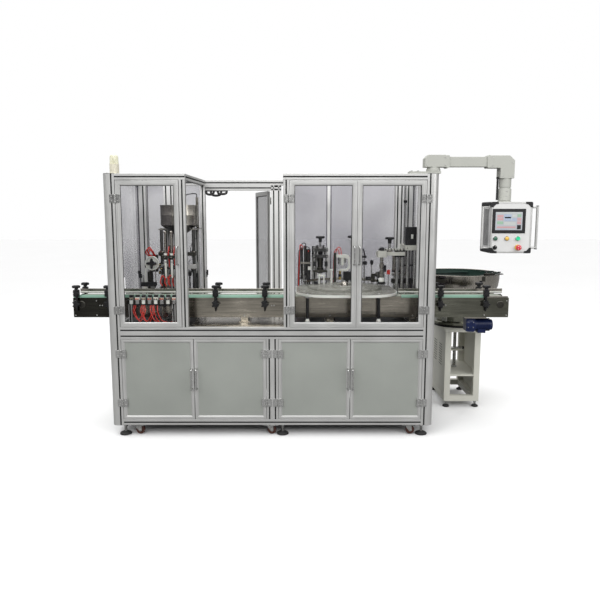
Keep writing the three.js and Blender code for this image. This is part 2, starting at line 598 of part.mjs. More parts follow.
// Valve manifold and air hoses in front of the conveyor
const MANIFOLD = { x0: 100, x1: 440, y0: 112, y1: 150, z0: 902, z1: 930 };
const valveParts = [box(MANIFOLD.x0, MANIFOLD.x1, MANIFOLD.y0, MANIFOLD.y1, MANIFOLD.z0, MANIFOLD.z1)];
for (let x = 118; x < 430; x += 42) {
  valveParts.push(box(x, x + 30, 104, 156, 929, 964));
}
for (const x of [120, 420]) valveParts.push(box(x - 12, x + 12, 120, 144, ON_DECK, 903));
piece('valve_manifold', ZINC, valveParts);

const AIR_LOOPS = [[150, 60, 796], [200, 70, 782], [262, 56, 804], [326, 66, 790]];
piece('air_hoses', RED, [
  box(140, 404, 118, 134, 890, MANIFOLD.z0 - GAP),
  ...AIR_LOOPS.map(([x, width, low], i) => {
    const y = 112 + 4 * i;
    const points = [[x, y + 4, 892], [x - 6, y - 6, 850], [x + width / 2, y - 14, low]];
    points.push([x + width + 6, y - 6, 850], [x + width, y + 4, 892]);
    return hose(points, 4, 12, 6);
  }),
]);

// Product hoses from the hopper's outlet to the back of the metering block
piece('product_hoses', BLACK, [
  rod('z', HOPPER.outletR, 1262, HOPPER.outlet - GAP, HOPPER.x, HOPPER.y, 12),
  ...CYLINDERS.map((x) => {
    const side = Math.sign(x - HOPPER.x);
    const points = [[HOPPER.x + side * 10, HOPPER.y, 1270], [HOPPER.x + side * 30, HOPPER.y - 4, 1200]];
    points.push([x, 606, 1060], [x, 596, 940], [x, 560, 886], [x, 530, 880], [x, 514, 880]);
    return hose(points, 9, 14, 8);
  }),
]);

// Capping station: base, columns, press head, capping head and its spindle
const PRESS = { x: 1447, y: 711 };
const CAPPER = { x: 1888, y: 429 };
const CAP_POSTS = [[2006, 470, 13], [2044, 470, 12], [2084, 470, 12], [2136, 470, 12], [2136, 720, 12]];
const MAST_TOP = 1735;
piece('capping_frame', STAINLESS, [
  box(1320, 1450, 770, 848, ON_DECK, 772),
  box(1449, 2112, 800, 848, ON_DECK, 772),
  box(1976, 2160, 420, 812, ON_DECK, 774),
  box(1385, 1425, 806, 846, 771, 1262),
  box(1326, 1372, 776, 824, 771, 1240),
  box(2023, 2083, 700, 780, 773, MAST_TOP),
  rod('z', 6.5, 773, MAST_TOP, 2101, 740, 10),
  ...CAP_POSTS.map(([x, y, r]) => rod('z', r, 773, 1262, x, y, 12)),
  box(2062, 2156, 450, 750, 1250, 1286),
  box(2068, 2154, 462, 548, 1285, 1419),
]);

piece('press_head', STAINLESS, [
  box(1384, 1426, 760, 805.5, 1180, 1262),
  box(1388, 1506, PRESS.y - 40, 770, 1228, 1262),
  box(1388, 1506, PRESS.y - 40, 770, 1180, 1200),
  box(1400, 1494, PRESS.y + 10, 768, 1199, 1229),
  box(1392, 1502, PRESS.y - 36, PRESS.y + 20, 1066, 1084),
  ...[1402, 1492].map((x) => rod('z', 8, 1083, 1229, x, PRESS.y - 20, 10)),
  rod('z', 24, 1060, 1190, PRESS.x, PRESS.y, 14),
  rod('z', 12, 1026, 1062, PRESS.x, PRESS.y, 12),
  rod('z', 8, 1260, 1330, PRESS.x, PRESS.y, 10),
  rod('z', 12, 1326, 1344, PRESS.x, PRESS.y, 12, 34),
]);

const CARRIAGE_Z = [1212, 1238];
const carriageBores = CAP_POSTS.slice(0, 2).map(([x, y, r]) => rod('z', r + 0.5, 1180, 1260, x, y, 16));
piece(
  'capping_head',
  STAINLESS,
  [
    box(CAPPER.x - 34, 2060, 440, 500, ...CARRIAGE_Z),
    box(CAPPER.x - 34, CAPPER.x + 34, CAPPER.y - 34, 500, CARRIAGE_Z[0] - 10, CARRIAGE_Z[1] + 10),
    box(1866, 1936, 452, 470, CARRIAGE_Z[1] - 1, 1262),
    rod('z', 10, CARRIAGE_Z[1] - 1, 1332, 1950, 476, 12),
    rod('z', 14, 1328, 1346, 1950, 476, 12, 34),
  ],
  [...carriageBores, rod('z', 12.5, 1190, 1270, CAPPER.x, CAPPER.y, 16)],
);
piece('capping_spindle', WHITE, [
  rod('z', 12, 1060, 1256, CAPPER.x, CAPPER.y, 14),
  rod('z', 17, 1249, 1272, CAPPER.x, CAPPER.y, 14),
  rod('z', 18, 1120, 1160, CAPPER.x, CAPPER.y, 14),
  rod('z', 22, 1012, 1062, CAPPER.x, CAPPER.y, 16),
  rod('z', 28, 1004, 1020, CAPPER.x, CAPPER.y, 16),
]);

// Operator arm and pendant
const TUBE_Z = 1852;
const TUBE_HALF = 32;
piece('arm', CASTING, [
  rod('z', 46, FRAME_TOP + ARM_PLATE.thick + GAP, 1822, ...ARM_PIVOT, 20),
  prism('y', outline([[2102, 1818], [2246, 1818], [2246, 1888], [2236, 1896], [2122, 1896], [2102, 1874]]),
    ARM_PIVOT[1] - 42, ARM_PIVOT[1] + 42),
  box(2240, 2540, ARM_PIVOT[1] - TUBE_HALF, ARM_PIVOT[1] + TUBE_HALF, TUBE_Z - TUBE_HALF, TUBE_Z + TUBE_HALF),
  prism('y', outline([[2528, 1812], [2594, 1812], [2594, 1746], [2686, 1746], [2686, 1860], [2652, 1892],
    [2528, 1892]]), PENDANT_PIVOT[1] - 42, PENDANT_PIVOT[1] + 42),
  rod('z', 39, PENDANT.z1 + GAP + 8, 1748, ...PENDANT_PIVOT, 20),
]);

function sideHandle(x0, x1, rail) {
  const [low, high] = [1290, 1566];
  const [a, b] = rail < x0 ? [rail - 7, x0 + 1] : [x1 - 1, rail + 7];
  return [
    box(a, b, -30, -14, low, low + 14),
    box(a, b, -30, -14, high - 14, high),
    box(rail - 7, rail + 7, -31, -13, low, high),
  ];
}
const BUTTONS = { start: [2703, 1358], stop: [2705, 1300], selector: [2556, 1300] };
piece('pendant', CASTING, [
  box(PENDANT.x0, PENDANT.x1, PENDANT.y0, PENDANT.y1, PENDANT.z0, PENDANT.z1),
  rod('z', 44, PENDANT.z1 - 1, PENDANT.z1 + 8, ...PENDANT_PIVOT, 20),
  ...sideHandle(PENDANT.x0, PENDANT.x1, 2480),
  ...sideHandle(PENDANT.x0, PENDANT.x1, 2836),
]);
const FACE = PENDANT.y0 - GAP;
piece('start_button', GREEN, [rod('y', 13, FACE - 14, FACE - 4, ...BUTTONS.start, 18)]);
piece('e_stop', RED, [
  rod('y', 18, FACE - 30, FACE - 16, ...BUTTONS.stop, 18),
  rod('y', 9, FACE - 17, FACE - 6, ...BUTTONS.stop, 12),
]);
piece('selector', BLACK, [
  rod('y', 13, FACE - 10, FACE, ...BUTTONS.selector, 16),
  box(BUTTONS.selector[0] - 4, BUTTONS.selector[0] + 4, FACE - 24, FACE - 9,
    BUTTONS.selector[1] - 12, BUTTONS.selector[1] + 12),
]);

// Bowl feeder: stand, vibratory drive and bowl with its outlet track
const STAND = { x0: 2425, x1: 2700, y0: 640, y1: 1160, top: 620, leg: 46 };
const standParts = [
  box(STAND.x0 - 10, STAND.x1 + 10, STAND.y0 - 10, STAND.y1 + 10, STAND.top - 16, STAND.top),
];
for (const x of [STAND.x0, STAND.x1 - STAND.leg]) {
  standParts.push(box(x, x + STAND.leg, STAND.y0, STAND.y1, 48, 92));
  for (const y of [STAND.y0, STAND.y1 - STAND.leg]) {
    standParts.push(box(x, x + STAND.leg, y, y + STAND.leg, 90, STAND.top - 15));
    standParts.push(rod('z', 26, 0, 12, x + STAND.leg / 2, y + STAND.leg / 2, 8));
    standParts.push(box(x + 15, x + 31, y + 15, y + 31, 11, 50));
  }
}
for (const y of [STAND.y0, STAND.y1 - STAND.leg]) {
  standParts.push(box(STAND.x0, STAND.x1, y, y + STAND.leg, 48, 92));
}
standParts.push(box(STAND.x0 + 4, STAND.x1 - 4, STAND.y0 + 4, STAND.y1 - 4, 250, 262));
standParts.push(rod('z', 14, 261, STAND.top - 15, 2562, 900, 12));
standParts.push(box(2500, 2624, 888, 912, 400, 416));
piece('feeder_stand', SHEET, standParts);

piece('bowl_drive', ZINC, [
  rod('z', 180, STAND.top + GAP, 660, BOWL.x, BOWL.y, 24),
  rod('z', 150, 659, 770, BOWL.x, BOWL.y, 24),
  rod('z', 176, 769, BOWL.low - GAP, BOWL.x, BOWL.y, 24),
]);

const bowlFloor = BOWL.low + 8;
piece('feeder_bowl', STAINLESS, [
  revolved(
    [
      [0, BOWL.low], [200, BOWL.low], [BOWL.r - 24, 900], [BOWL.r, BOWL.high - 40], [BOWL.r, BOWL.high],
      [BOWL.r - BOWL.wall, BOWL.high], [BOWL.r - BOWL.wall, BOWL.high - 38],
      [BOWL.r - 29, 904], [197, bowlFloor], [0, bowlFloor],
    ],
    36, BOWL.x, BOWL.y,
  ),
  box(1990, 2400, TRACK.y0, TRACK.y1, TRACK.low, TRACK.low + 6),
  box(1990, 2400, TRACK.y0, TRACK.y0 + 4, TRACK.low, TRACK.high),
  box(1990, 2400, TRACK.y1 - 4, TRACK.y1, TRACK.low, TRACK.high),
]);

// Origin in the middle of the footprint, on the floor
const bounds = new THREE.Box3().setFromObject(machine);
const middle = bounds.getCenter(new THREE.Vector3());
machine.position.set(-middle.x, -middle.y, -bounds.min.z);
machine.updateMatrixWorld(true);

export default machine;
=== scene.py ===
"""Looks for the piston liquid filler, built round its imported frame.

Sizes are millimetres from the machine's front left corner on the floor, and become metres in place().
"""
import math

import bmesh
import bpy
from mathutils import Matrix, Vector


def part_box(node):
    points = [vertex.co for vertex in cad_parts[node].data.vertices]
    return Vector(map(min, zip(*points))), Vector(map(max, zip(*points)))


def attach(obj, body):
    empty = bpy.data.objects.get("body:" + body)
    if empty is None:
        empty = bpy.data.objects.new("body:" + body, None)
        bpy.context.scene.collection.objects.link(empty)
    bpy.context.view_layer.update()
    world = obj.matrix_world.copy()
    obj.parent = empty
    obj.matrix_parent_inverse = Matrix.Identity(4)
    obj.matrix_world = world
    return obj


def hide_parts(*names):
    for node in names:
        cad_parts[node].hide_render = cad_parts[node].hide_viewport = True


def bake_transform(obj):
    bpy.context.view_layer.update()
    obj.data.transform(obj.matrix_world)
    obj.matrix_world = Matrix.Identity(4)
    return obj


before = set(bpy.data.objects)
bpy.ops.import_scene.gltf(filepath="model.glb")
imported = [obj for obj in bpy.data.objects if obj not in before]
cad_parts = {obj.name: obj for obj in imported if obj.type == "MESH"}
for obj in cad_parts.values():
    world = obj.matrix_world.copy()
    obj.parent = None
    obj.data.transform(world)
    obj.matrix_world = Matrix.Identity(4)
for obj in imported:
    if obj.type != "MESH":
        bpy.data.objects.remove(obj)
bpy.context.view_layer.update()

MM = 0.001
LEAF_PROUD = 5  # the fixed hinge leaves stand this far in front of the frame's face
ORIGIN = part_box("base_frame")[0] + Vector((0, LEAF_PROUD, 0)) * MM


def place(x, y, z):
    return ORIGIN + Vector((x, y, z)) * MM


# Camera
camera_data = bpy.data.cameras.new("camera")
camera_data.lens = 37.2
camera_data.sensor_width = 36
camera = bpy.data.objects.new("camera", camera_data)
camera.location = place(1290, -4100, 1530)
camera.rotation_euler = (math.radians(81.9), 0, 0)
bpy.context.collection.objects.link(camera)
bpy.context.scene.camera = camera
bpy.context.scene.view_settings.view_transform = "Standard"


# Materials
MATERIALS = {}
SLOTS = {}
RELIEF = 0.0003  # how far a fine grain stands proud, in metres


def scaled(colour, factor):
    return (*(min(1.0, c * factor) for c in colour), 1)


def node(tree, kind, inputs=(), **settings):
    made = tree.nodes.new(kind)
    for key, value in settings.items():
        setattr(made, key, value)
    for key, value in dict(inputs).items():
        if isinstance(value, bpy.types.NodeSocket):
            tree.links.new(value, made.inputs[key])
        else:
            made.inputs[key].default_value = value
    return made


def spread(tree, value, low, high, start, end):
    """A value from start to end, mapped to low to high."""
    limits = {"Value": value, "From Min": start, "From Max": end, "To Min": low, "To Max": high}
    return node(tree, "ShaderNodeMapRange", limits).outputs["Result"]


def mixed(tree, factor, a, b):
    return node(tree, "ShaderNodeMix", {0: factor, 6: a, 7: b}, data_type="RGBA").outputs[2]


def material(name, slot, colour, roughness, metallic=0.0, vary=0.07, patch=6.0, grain=420.0,
             stretch=(1, 1, 1), bump=0.2, rough_vary=0.07, wear=0.0, worn=None, sockets=None):
    """A surface with broad patches, fine grain, uneven gloss and, where wear is set, rubbed edges."""
    made = bpy.data.materials.new(name)
    made.use_nodes = True
    tree = made.node_tree
    shader = tree.nodes["Principled BSDF"]
    shader.inputs["Metallic"].default_value = metallic
    for socket, value in (sockets or {}).items():
        shader.inputs[socket].default_value = value
    where = node(tree, "ShaderNodeTexCoord").outputs["Object"]
    pulled = node(tree, "ShaderNodeMapping", {"Vector": where, "Scale": stretch}).outputs["Vector"]
    broad = node(tree, "ShaderNodeTexNoise", {"Vector": where, "Scale": patch, "Detail": 5.0})
    fine = node(tree, "ShaderNodeTexNoise", {"Vector": pulled, "Scale": grain, "Detail": 4.0})
    parts = {0: broad.outputs["Fac"], 1: fine.outputs["Fac"]}
    both = node(tree, "ShaderNodeMath", parts, operation="ADD").outputs[0]
    tone = spread(tree, both, 0.0, 1.0, 0.75, 1.25)
    surface = mixed(tree, tone, scaled(colour, 1 - vary), scaled(colour, 1 + vary))
    if wear:
        rounded = node(tree, "ShaderNodeBevel", {"Radius": 0.002}, samples=4).outputs["Normal"]
        flat = node(tree, "ShaderNodeNewGeometry").outputs["Normal"]
        dot = node(tree, "ShaderNodeVectorMath", {0: rounded, 1: flat}, operation="DOT_PRODUCT")
        edge = spread(tree, dot.outputs["Value"], wear, 0.0, 0.8, 0.99)
        rubbed = node(tree, "ShaderNodeMath", {0: edge, 1: broad.outputs["Fac"]}, operation="MULTIPLY")
        surface = mixed(tree, rubbed.outputs[0], surface, scaled(worn or colour, 1.0 if worn else 1.5))
    tree.links.new(surface, shader.inputs["Base Color"])
    gloss = spread(tree, both, roughness - rough_vary, roughness + rough_vary, 0.75, 1.25)
    tree.links.new(gloss, shader.inputs["Roughness"])
    height = {"Height": fine.outputs["Fac"], "Strength": bump, "Distance": RELIEF}
    tree.links.new(node(tree, "ShaderNodeBump", height).outputs["Normal"], shader.inputs["Normal"])
    MATERIALS[name], SLOTS[name] = made, slot


ALONG = {"x": (0.02, 1, 1), "y": (1, 0.02, 1), "z": (1, 1, 0.02)}
for axis, stretch in ALONG.items():
    material(f"alu_{axis}", "aluminium", (0.48, 0.48, 0.47), 0.36, 0.5, grain=260,
             stretch=stretch, bump=0.25, rough_vary=0.06)
    material(f"steel_{axis}", "stainless", (0.40, 0.375, 0.335), 0.24, 1.0, vary=0.16, grain=300,
             stretch=stretch, rough_vary=0.08)
# the aluminium again, painted brighter: painted light on the rear posts, the side stile and the two masts
material("alu_lit", "aluminium", (0.70, 0.70, 0.69), 0.42, 0.25, vary=0.05, grain=260, stretch=ALONG["z"],
         rough_vary=0.06)
# hopper steel: upright bands and patches of strong contrast, painted reflections of a polished hopper
material("hopper_steel", "stainless", (0.40, 0.375, 0.335), 0.2, 1.0, vary=0.75, patch=2.0, grain=16,
         stretch=ALONG["z"], bump=0.02, rough_vary=0.06)
material("dark_steel", "stainless", (0.055, 0.053, 0.046), 0.32, 0.9, vary=0.2, grain=300)
material("gunmetal", "aluminium", (0.06, 0.06, 0.058), 0.36, 0.7, vary=0.2, patch=20, grain=300)
material("pale_cast", "stainless", (0.50, 0.50, 0.45), 0.45, 0.3, vary=0.12, patch=20, grain=500, bump=0.35)
material("deck_steel", "stainless", (0.50, 0.47, 0.42), 0.24, 1.0, vary=0.12, grain=300,
         stretch=ALONG["x"], bump=0.25, rough_vary=0.1)
# the deck steel darkened for the enclosures: painted shade and dark reflections
material("deck_black", "stainless", (0.02, 0.02, 0.018), 0.34, 0.6, vary=0.2, patch=4, grain=300)
# plate steel: broad patches that are painted reflections; its dull and dark copies are painted shade on the
# conveyor's outfeed and infeed ends
PLATES = (("steel", (0.38, 0.35, 0.295), 0.2, 0.38), ("dull", (0.19, 0.19, 0.155), 0.22, 0.3),
          ("dark", (0.04, 0.039, 0.033), 0.22, 0.3))
for tone, colour, roughness, vary in PLATES:
    material(f"plate_{tone}", "stainless", colour, roughness, 1.0, vary=vary, patch=3.2, grain=260,
             stretch=ALONG["x"], rough_vary=0.08)
material("sheet", "sheet_panel", (0.31, 0.325, 0.30), 0.46, 0.3, vary=0.06, patch=3, grain=700,
         bump=0.12, wear=0.4)
material("dial_grey", "white_nylon", (0.22, 0.22, 0.195), 0.26, vary=0.12, patch=5, grain=500, bump=0.08)
# near black for the shade inside grooves, louvres and slits: painted shade
material("slot_black", "aluminium", (0.006, 0.006, 0.006), 0.7, grain=500)
material("black", "black_plastic", (0.009, 0.009, 0.010), 0.42, vary=0.25, grain=900, bump=0.35,
         wear=0.5, worn=(0.05, 0.05, 0.05), sockets={"Specular IOR Level": 0.3})
material("rubber", "black_plastic", (0.014, 0.014, 0.014), 0.7, vary=0.3, grain=600, bump=0.4)
material("white", "white_nylon", (0.62, 0.62, 0.58), 0.42, vary=0.04, grain=500, bump=0.1,
         sockets={"Subsurface Weight": 0.04})
material("casting", "painted_casting", (0.38, 0.385, 0.35), 0.5, vary=0.05, grain=520, bump=0.45,
         wear=0.5, worn=(0.62, 0.62, 0.58))
material("pendant_grey", "painted_casting", (0.60, 0.60, 0.595), 0.42, 0.1, vary=0.04, grain=800,
         bump=0.25, wear=0.4)
material("zinc", "zinc", (0.42, 0.42, 0.41), 0.3, 0.95, vary=0.12, patch=30, grain=300)
material("bright", "zinc", (0.52, 0.52, 0.51), 0.22, 1.0, vary=0.06, patch=25, grain=300, bump=0.1)
material("brass", "zinc", (0.60, 0.45, 0.18), 0.28, 1.0, vary=0.1, patch=30, grain=300, bump=0.15)
material("stand_paint", "stand_paint", (0.60, 0.595, 0.53), 0.45, vary=0.06, patch=5, grain=600,
         bump=0.25, wear=0.5, worn=(0.6, 0.6, 0.57))
material("navy", "motor_paint", (0.004, 0.010, 0.050), 0.34, vary=0.15, patch=12, grain=350,
         bump=0.5, wear=0.5, worn=(0.04, 0.06, 0.16), sockets={"Specular IOR Level": 0.3})
material("slats", "belt", (0.22, 0.24, 0.20), 0.42, vary=0.12, patch=14, grain=400,
         stretch=ALONG["x"], bump=0.3)
material("mint", "belt", (0.20, 0.35, 0.27), 0.38, vary=0.06, grain=500, bump=0.15)
material("red_hose", "red_hose", (0.52, 0.03, 0.02), 0.32, vary=0.12, grain=300, bump=0.15)
material("pale_hose", "white_nylon", (0.42, 0.42, 0.41), 0.3, vary=0.1, grain=300, bump=0.1)
material("black_hose", "black_plastic", (0.02, 0.02, 0.022), 0.35, vary=0.2, grain=300)
BUTTONS = (("green_button", "green_plastic", (0.02, 0.62, 0.30), 0.25, 0.08, 0.4),
           ("dark_green", "green_plastic", (0.02, 0.10, 0.06), 0.25, 0.1, 0.4),
           ("amber", "painted_casting", (0.72, 0.44, 0.06), 0.25, 0.08, 0.4),
           ("red_button", "red_plastic", (0.55, 0.03, 0.05), 0.3, 0.08, 0.3))
for name, slot, colour, roughness, vary, coat in BUTTONS:
    material(name, slot, colour, roughness, vary=vary, grain=600, bump=0.1, sockets={"Coat Weight": coat})
material("beacon_base", "beacon_housing", (0.66, 0.63, 0.52), 0.45, vary=0.05, grain=600)
material("lens", "beacon_housing", (0.80, 0.78, 0.55), 0.12, vary=0.05, grain=200, bump=0.2,
         sockets={"Alpha": 0.55})
material("tread", "caster_tread", (0.06, 0.02, 0.013), 0.55, vary=0.2, patch=30, grain=500, bump=0.4)
material("bowl_green", "stainless", (0.006, 0.028, 0.020), 0.5, vary=0.2, patch=12, grain=500,
         bump=0.5)
for tint, alpha, colour in (("clear", 0.02, (0.06, 0.06, 0.07)), ("tinted", 0.24, (0.15, 0.14, 0.19)),
                            ("smoked", 0.5, (0.12, 0.12, 0.13))):
    material(f"glass_{tint}", "glass", colour, 0.06, vary=0.06, patch=4, grain=40, bump=0.02,
             rough_vary=0.03, sockets={"Alpha": alpha, "IOR": 1.5, "Specular IOR Level": 0.22})
film = MATERIALS["glass_tinted"].node_tree  # the tint fades upwards and is a little cloudy
where = node(film, "ShaderNodeTexCoord").outputs["Object"]
height = node(film, "ShaderNodeSeparateXYZ", {"Vector": where}).outputs["Z"]
cloud = node(film, "ShaderNodeTexNoise", {"Vector": where, "Scale": 2.1, "Detail": 1.0}).outputs["Fac"]
density = {0: spread(film, height, 0.52, 0.36, 0.9, 1.6), 1: spread(film, cloud, -0.05, 0.05, 0.4, 0.6)}
alpha = node(film, "ShaderNodeMath", density, operation="ADD").outputs[0]
film.links.new(alpha, film.nodes["Principled BSDF"].inputs["Alpha"])
SCREEN = (("display", "black_plastic", (0.40, 0.42, 0.45)), ("field_red", "red_plastic", (0.50, 0.30, 0.31)),
          ("field_blue", "motor_paint", (0.34, 0.40, 0.50)),
          ("field_pale", "white_nylon", (0.46, 0.48, 0.47)),
          ("field_green", "green_plastic", (0.28, 0.42, 0.31)))
for name, slot, colour in SCREEN:
    material(name, slot, colour, 0.2, vary=0.04, grain=500, bump=0.02)


# Shapes
SHARP, BEVEL_FROM = math.radians(38), math.radians(40)  # angles that stay sharp, and that are bevelled


def along(axis, w, u, v):
    """A point w along an axis, with u and v on the other two in x, y, z order."""
    return {"x": (w, u, v), "y": (u, w, v), "z": (u, v, w)}[axis]


def spline(points, per):
    """Points along a smooth curve through the given ones."""
    ends = [Vector(p) for p in points]
    ends = [2 * ends[0] - ends[1], *ends, 2 * ends[-1] - ends[-2]]
    path = []
    for a, b, c, d in zip(ends, ends[1:], ends[2:], ends[3:]):
        for i in range(per):
            t = i / per
            path.append(0.5 * (2 * b + (c - a) * t + (2 * a - 5 * b + 4 * c - d) * t**2
                               + (3 * b - a - 3 * c + d) * t**3))
    return [*path, ends[-2]]


def around(count, r, u, v, first=0.0):
    """Points spread evenly round a circle."""
    turns = [first + 2 * math.pi * k / count for k in range(count)]
    return [(u + r * math.cos(a), v + r * math.sin(a)) for a in turns]


class Shape:
    """Collects solids in millimetres, each with its finish, to become one piece."""

    def __init__(self, finish):
        self.finish = finish
        self.points, self.faces, self.finishes = [], [], []

    def add(self, points, faces, finish=None):
        start = len(self.points)
        self.points += [Vector(p) for p in points]
        self.faces += [[start + i for i in face] for face in faces]
        finish = finish or self.finish
        self.finishes += finish if isinstance(finish, list) else [finish] * len(faces)
        return self

    def move(self, matrix, start=0):
        for i in range(start, len(self.points)):
            self.points[i] = matrix @ self.points[i]
        return self

    def rings(self, rings, finish=None, closed=False):
        count = len(rings[0])
        faces = []
        for i in range(len(rings) - (0 if closed else 1)):
            a, b = i * count, (i + 1) % len(rings) * count
            faces += [(a + k, a + (k + 1) % count, b + (k + 1) % count, b + k) for k in range(count)]
        if not closed:
            last = (len(rings) - 1) * count
            faces += [tuple(range(count))[::-1], tuple(range(last, last + count))]
        return self.add([p for ring in rings for p in ring], faces, finish)

    def box(self, x0, x1, y0, y1, z0, z1, finish=None):
        return self.prism("z", [(x0, y0), (x1, y0), (x1, y1), (x0, y1)], z0, z1, finish)

    def boxes(self, *rows):
        """A box for each row of its edges."""
        for row in rows:
            self.box(*row)

    def prism(self, axis, outline, w0, w1, finish=None):
        return self.rings([[along(axis, w, u, v) for u, v in outline] for w in (w0, w1)], finish)

    def lathe(self, axis, profile, u, v, finish=None, sides=32, closed=False):
        rings = [[along(axis, w, *p) for p in around(sides, r, u, v)] for r, w in profile]
        return self.rings(rings, finish, closed)

    def collar(self, axis, r, bore, w0, w1, u, v, finish=None):
        profile = [(r, w0), (r, w1), (bore, w1), (bore, w0)]
        return self.lathe(axis, profile, u, v, finish, 40, closed=True)

    def rod(self, axis, r, w0, w1, u, v, finish=None, sides=24, end=None):
        end = r if end is None else end
        edge = min(1.2, (w1 - w0) / 4, r / 4, end / 4)
        profile = [(r - edge, w0), (r, w0 + edge), (end, w1 - edge), (end - edge, w1)]
        return self.lathe(axis, profile, u, v, finish, sides)

    def rods(self, axis, *rows):
        """A rod along the axis for each row of its measures."""
        for row in rows:
            self.rod(axis, *row)

    def lobed(self, axis, r, w0, w1, u, v, lobes=5, dip=0.22, finish="black"):
        """A star knob: a lobed disc with rounded rims."""
        turns = [2 * math.pi * i / (lobes * 10) for i in range(lobes * 10)]
        edge = (w1 - w0) / 4
        rings = []
        for w, size in ((w0, 0.86), (w0 + edge, 1), (w1 - edge, 1), (w1, 0.86)):
            reach = [size * r * (1 - dip / 2 + dip / 2 * math.cos(lobes * a)) for a in turns]
            rings.append([along(axis, w, u + q * math.cos(a), v + q * math.sin(a))
                          for a, q in zip(turns, reach)])
        return self.rings(rings, finish)

    def screw(self, axis, w, u, v, way=1, r=4.5, finish="zinc"):
        """A socket-head screw standing on a face at w, towards way."""
        h = r * 0.9 * way
        edge = 0.12 * h
        profile = [(r, w - edge), (r, w + h - edge), (r - abs(edge), w + h), (r * 0.55, w + h),
                   (r * 0.5, w + h * 0.45)]
        return self.lathe(axis, profile, u, v, finish, 12)

    def screws(self, axis, w, us, vs, way=1, r=4.5):
        """A screw wherever one of us crosses one of vs."""
        for u in us:
            for v in vs:
                self.screw(axis, w, u, v, way, r)

    def tube(self, points, r, finish=None, sides=10, per=8):
        path = spline(points, per)
        side = (path[1] - path[0]).orthogonal().normalized()
        rings = []
        for i, here in enumerate(path):
            ahead = (path[min(i + 1, len(path) - 1)] - path[max(i - 1, 0)]).normalized()
            side = (side - ahead * side.dot(ahead)).normalized()
            other = ahead.cross(side)
            rings.append([here + side * u + other * v for u, v in around(sides, r, 0, 0)])
        return self.rings(rings, finish)

    def slotted(self, axis, w0, w1, corners, slots, bare=None, lit=()):
        """A profile bar: an outline whose sides carry grooves, black inside as painted shade."""
        outline, finishes = [], []
        plain, dark = bare or f"alu_{axis}", "slot_black"
        edges = zip(corners, [*corners[1:], corners[0]], slots)
        for i, ((au, av), (bu, bv), centres) in enumerate(edges):
            # the sides listed in lit are painted brighter: painted light
            face = "alu_lit" if i in lit else plain
            length = math.hypot(bu - au, bv - av)
            du, dv = (bu - au) / length, (bv - av) / length
            marks = [(0, 0)]
            for s in centres:
                marks += [(s - 5, 0), (s - 5, 4), (s + 5, 4), (s + 5, 0)]
                finishes += [face, dark, dark, dark]
            finishes.append(face)
            outline += [(au + du * s - dv * d, av + dv * s + du * d) for s, d in marks]
        return self.prism(axis, outline, w0, w1, [*finishes, plain, plain])

    def bar(self, axis, w0, w1, u0, u1, v0, v1, bare=None):
        """A rectangular profile with a groove down the middle of each 40 mm of each side."""
        edge = 1.5
        corners = [(u0 + edge, v0), (u1 - edge, v0), (u1, v0 + edge), (u1, v1 - edge),
                   (u1 - edge, v1), (u0 + edge, v1), (u0, v1 - edge), (u0, v0 + edge)]
        slots = []
        for length in (u1 - u0, v1 - v0) * 2:
            count = max(1, round(length / 40))
            slots += [[length * (k + 0.5) / count - edge for k in range(count)], []]
        return self.slotted(axis, w0, w1, corners, slots, bare)

    def border(self, x0, x1, z0, z1, section, finish=None):
        """A mitred frame in an upright plane. The section is (distance in from the edge, y)."""
        corners = [(x0, z0, 1, 1), (x1, z0, -1, 1), (x1, z1, -1, -1), (x0, z1, 1, -1)]
        rings = [[(x + sx * d, y, z + sz * d) for d, y in section] for x, z, sx, sz in corners]
        sides = [f"alu_{axis}" for axis in "xzxz" for _ in section]
        return self.rings(rings, finish or sides, closed=True)

    def piece(self, name, body="root", replaces=(), bevel=0.0, blend=None):
        mesh = bpy.data.meshes.new(name)
        mesh.from_pydata([place(*p) for p in self.points], [], self.faces)
        used = sorted(set(self.finishes), key=lambda f: (f != self.finish, f))
        for finish in used:
            mesh.materials.append(MATERIALS[finish])
        mesh.polygons.foreach_set("material_index", [used.index(f) for f in self.finishes])
        work = bmesh.new()
        work.from_mesh(mesh)
        bmesh.ops.recalc_face_normals(work, faces=work.faces)
        work.to_mesh(mesh)
        work.free()
        mesh.shade_smooth()
        mesh.set_sharp_from_angle(angle=SHARP)
        made = bpy.data.objects.new(name, mesh)
        bpy.context.collection.objects.link(made)
        if bevel:
            rounding = made.modifiers.new("rounding", "BEVEL")
            rounding.width = bevel * MM
            rounding.segments = 2
            rounding.limit_method = "ANGLE"
            rounding.angle_limit = BEVEL_FROM
            rounding.harden_normals = True
        if blend:
            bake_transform(made)
        else:
            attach(made, body)
        if replaces:
            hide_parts(*replaces)

    def moving(self, name, body, bevel=0.0):
        """A piece that stands for the CAD node named like the body it rides on."""
        self.piece(name, body, [body], bevel)


def arc(cx, cy, r, start, end, steps=8):
    turns = [math.radians(start + (end - start) * i / steps) for i in range(steps + 1)]
    return [(cx + r * math.cos(a), cy + r * math.sin(a)) for a in turns]


def rounded(u0, u1, v0, v1, r, steps=8):
    corners = ((u1 - r, v0 + r, -90), (u1 - r, v1 - r, 0), (u0 + r, v1 - r, 90), (u0 + r, v0 + r, 180))
    return [p for cu, cv, a in corners for p in arc(cu, cv, r, a, a + 90, steps)]


# Frame
LENGTH, DEPTH, TOP, DECK = 2200, 900, 1776, 760
PROFILE, POST = 40, 80  # the slim profile, and the corner posts with one rounded edge
MID = (1062, 1142)
INNER_LEFT, INNER_RIGHT = (500, 540), (1180, 1220)  # the two enclosures' inner posts
BACK = DEPTH - PROFILE  # the inner face of the rear profiles
GAP = 0.3  # clearance between pieces that would touch
ON_DECK = DECK + GAP
INSIDE, PAST_POST = PROFILE + GAP, POST + GAP
ARM_PLATE = TOP + 14  # the top of the plate that carries the operator arm
BASE_LOW, BASE_BEAM = 75, 78
CORNERS = [(x, y) for x in (0, LENGTH) for y in (0, DEPTH)]

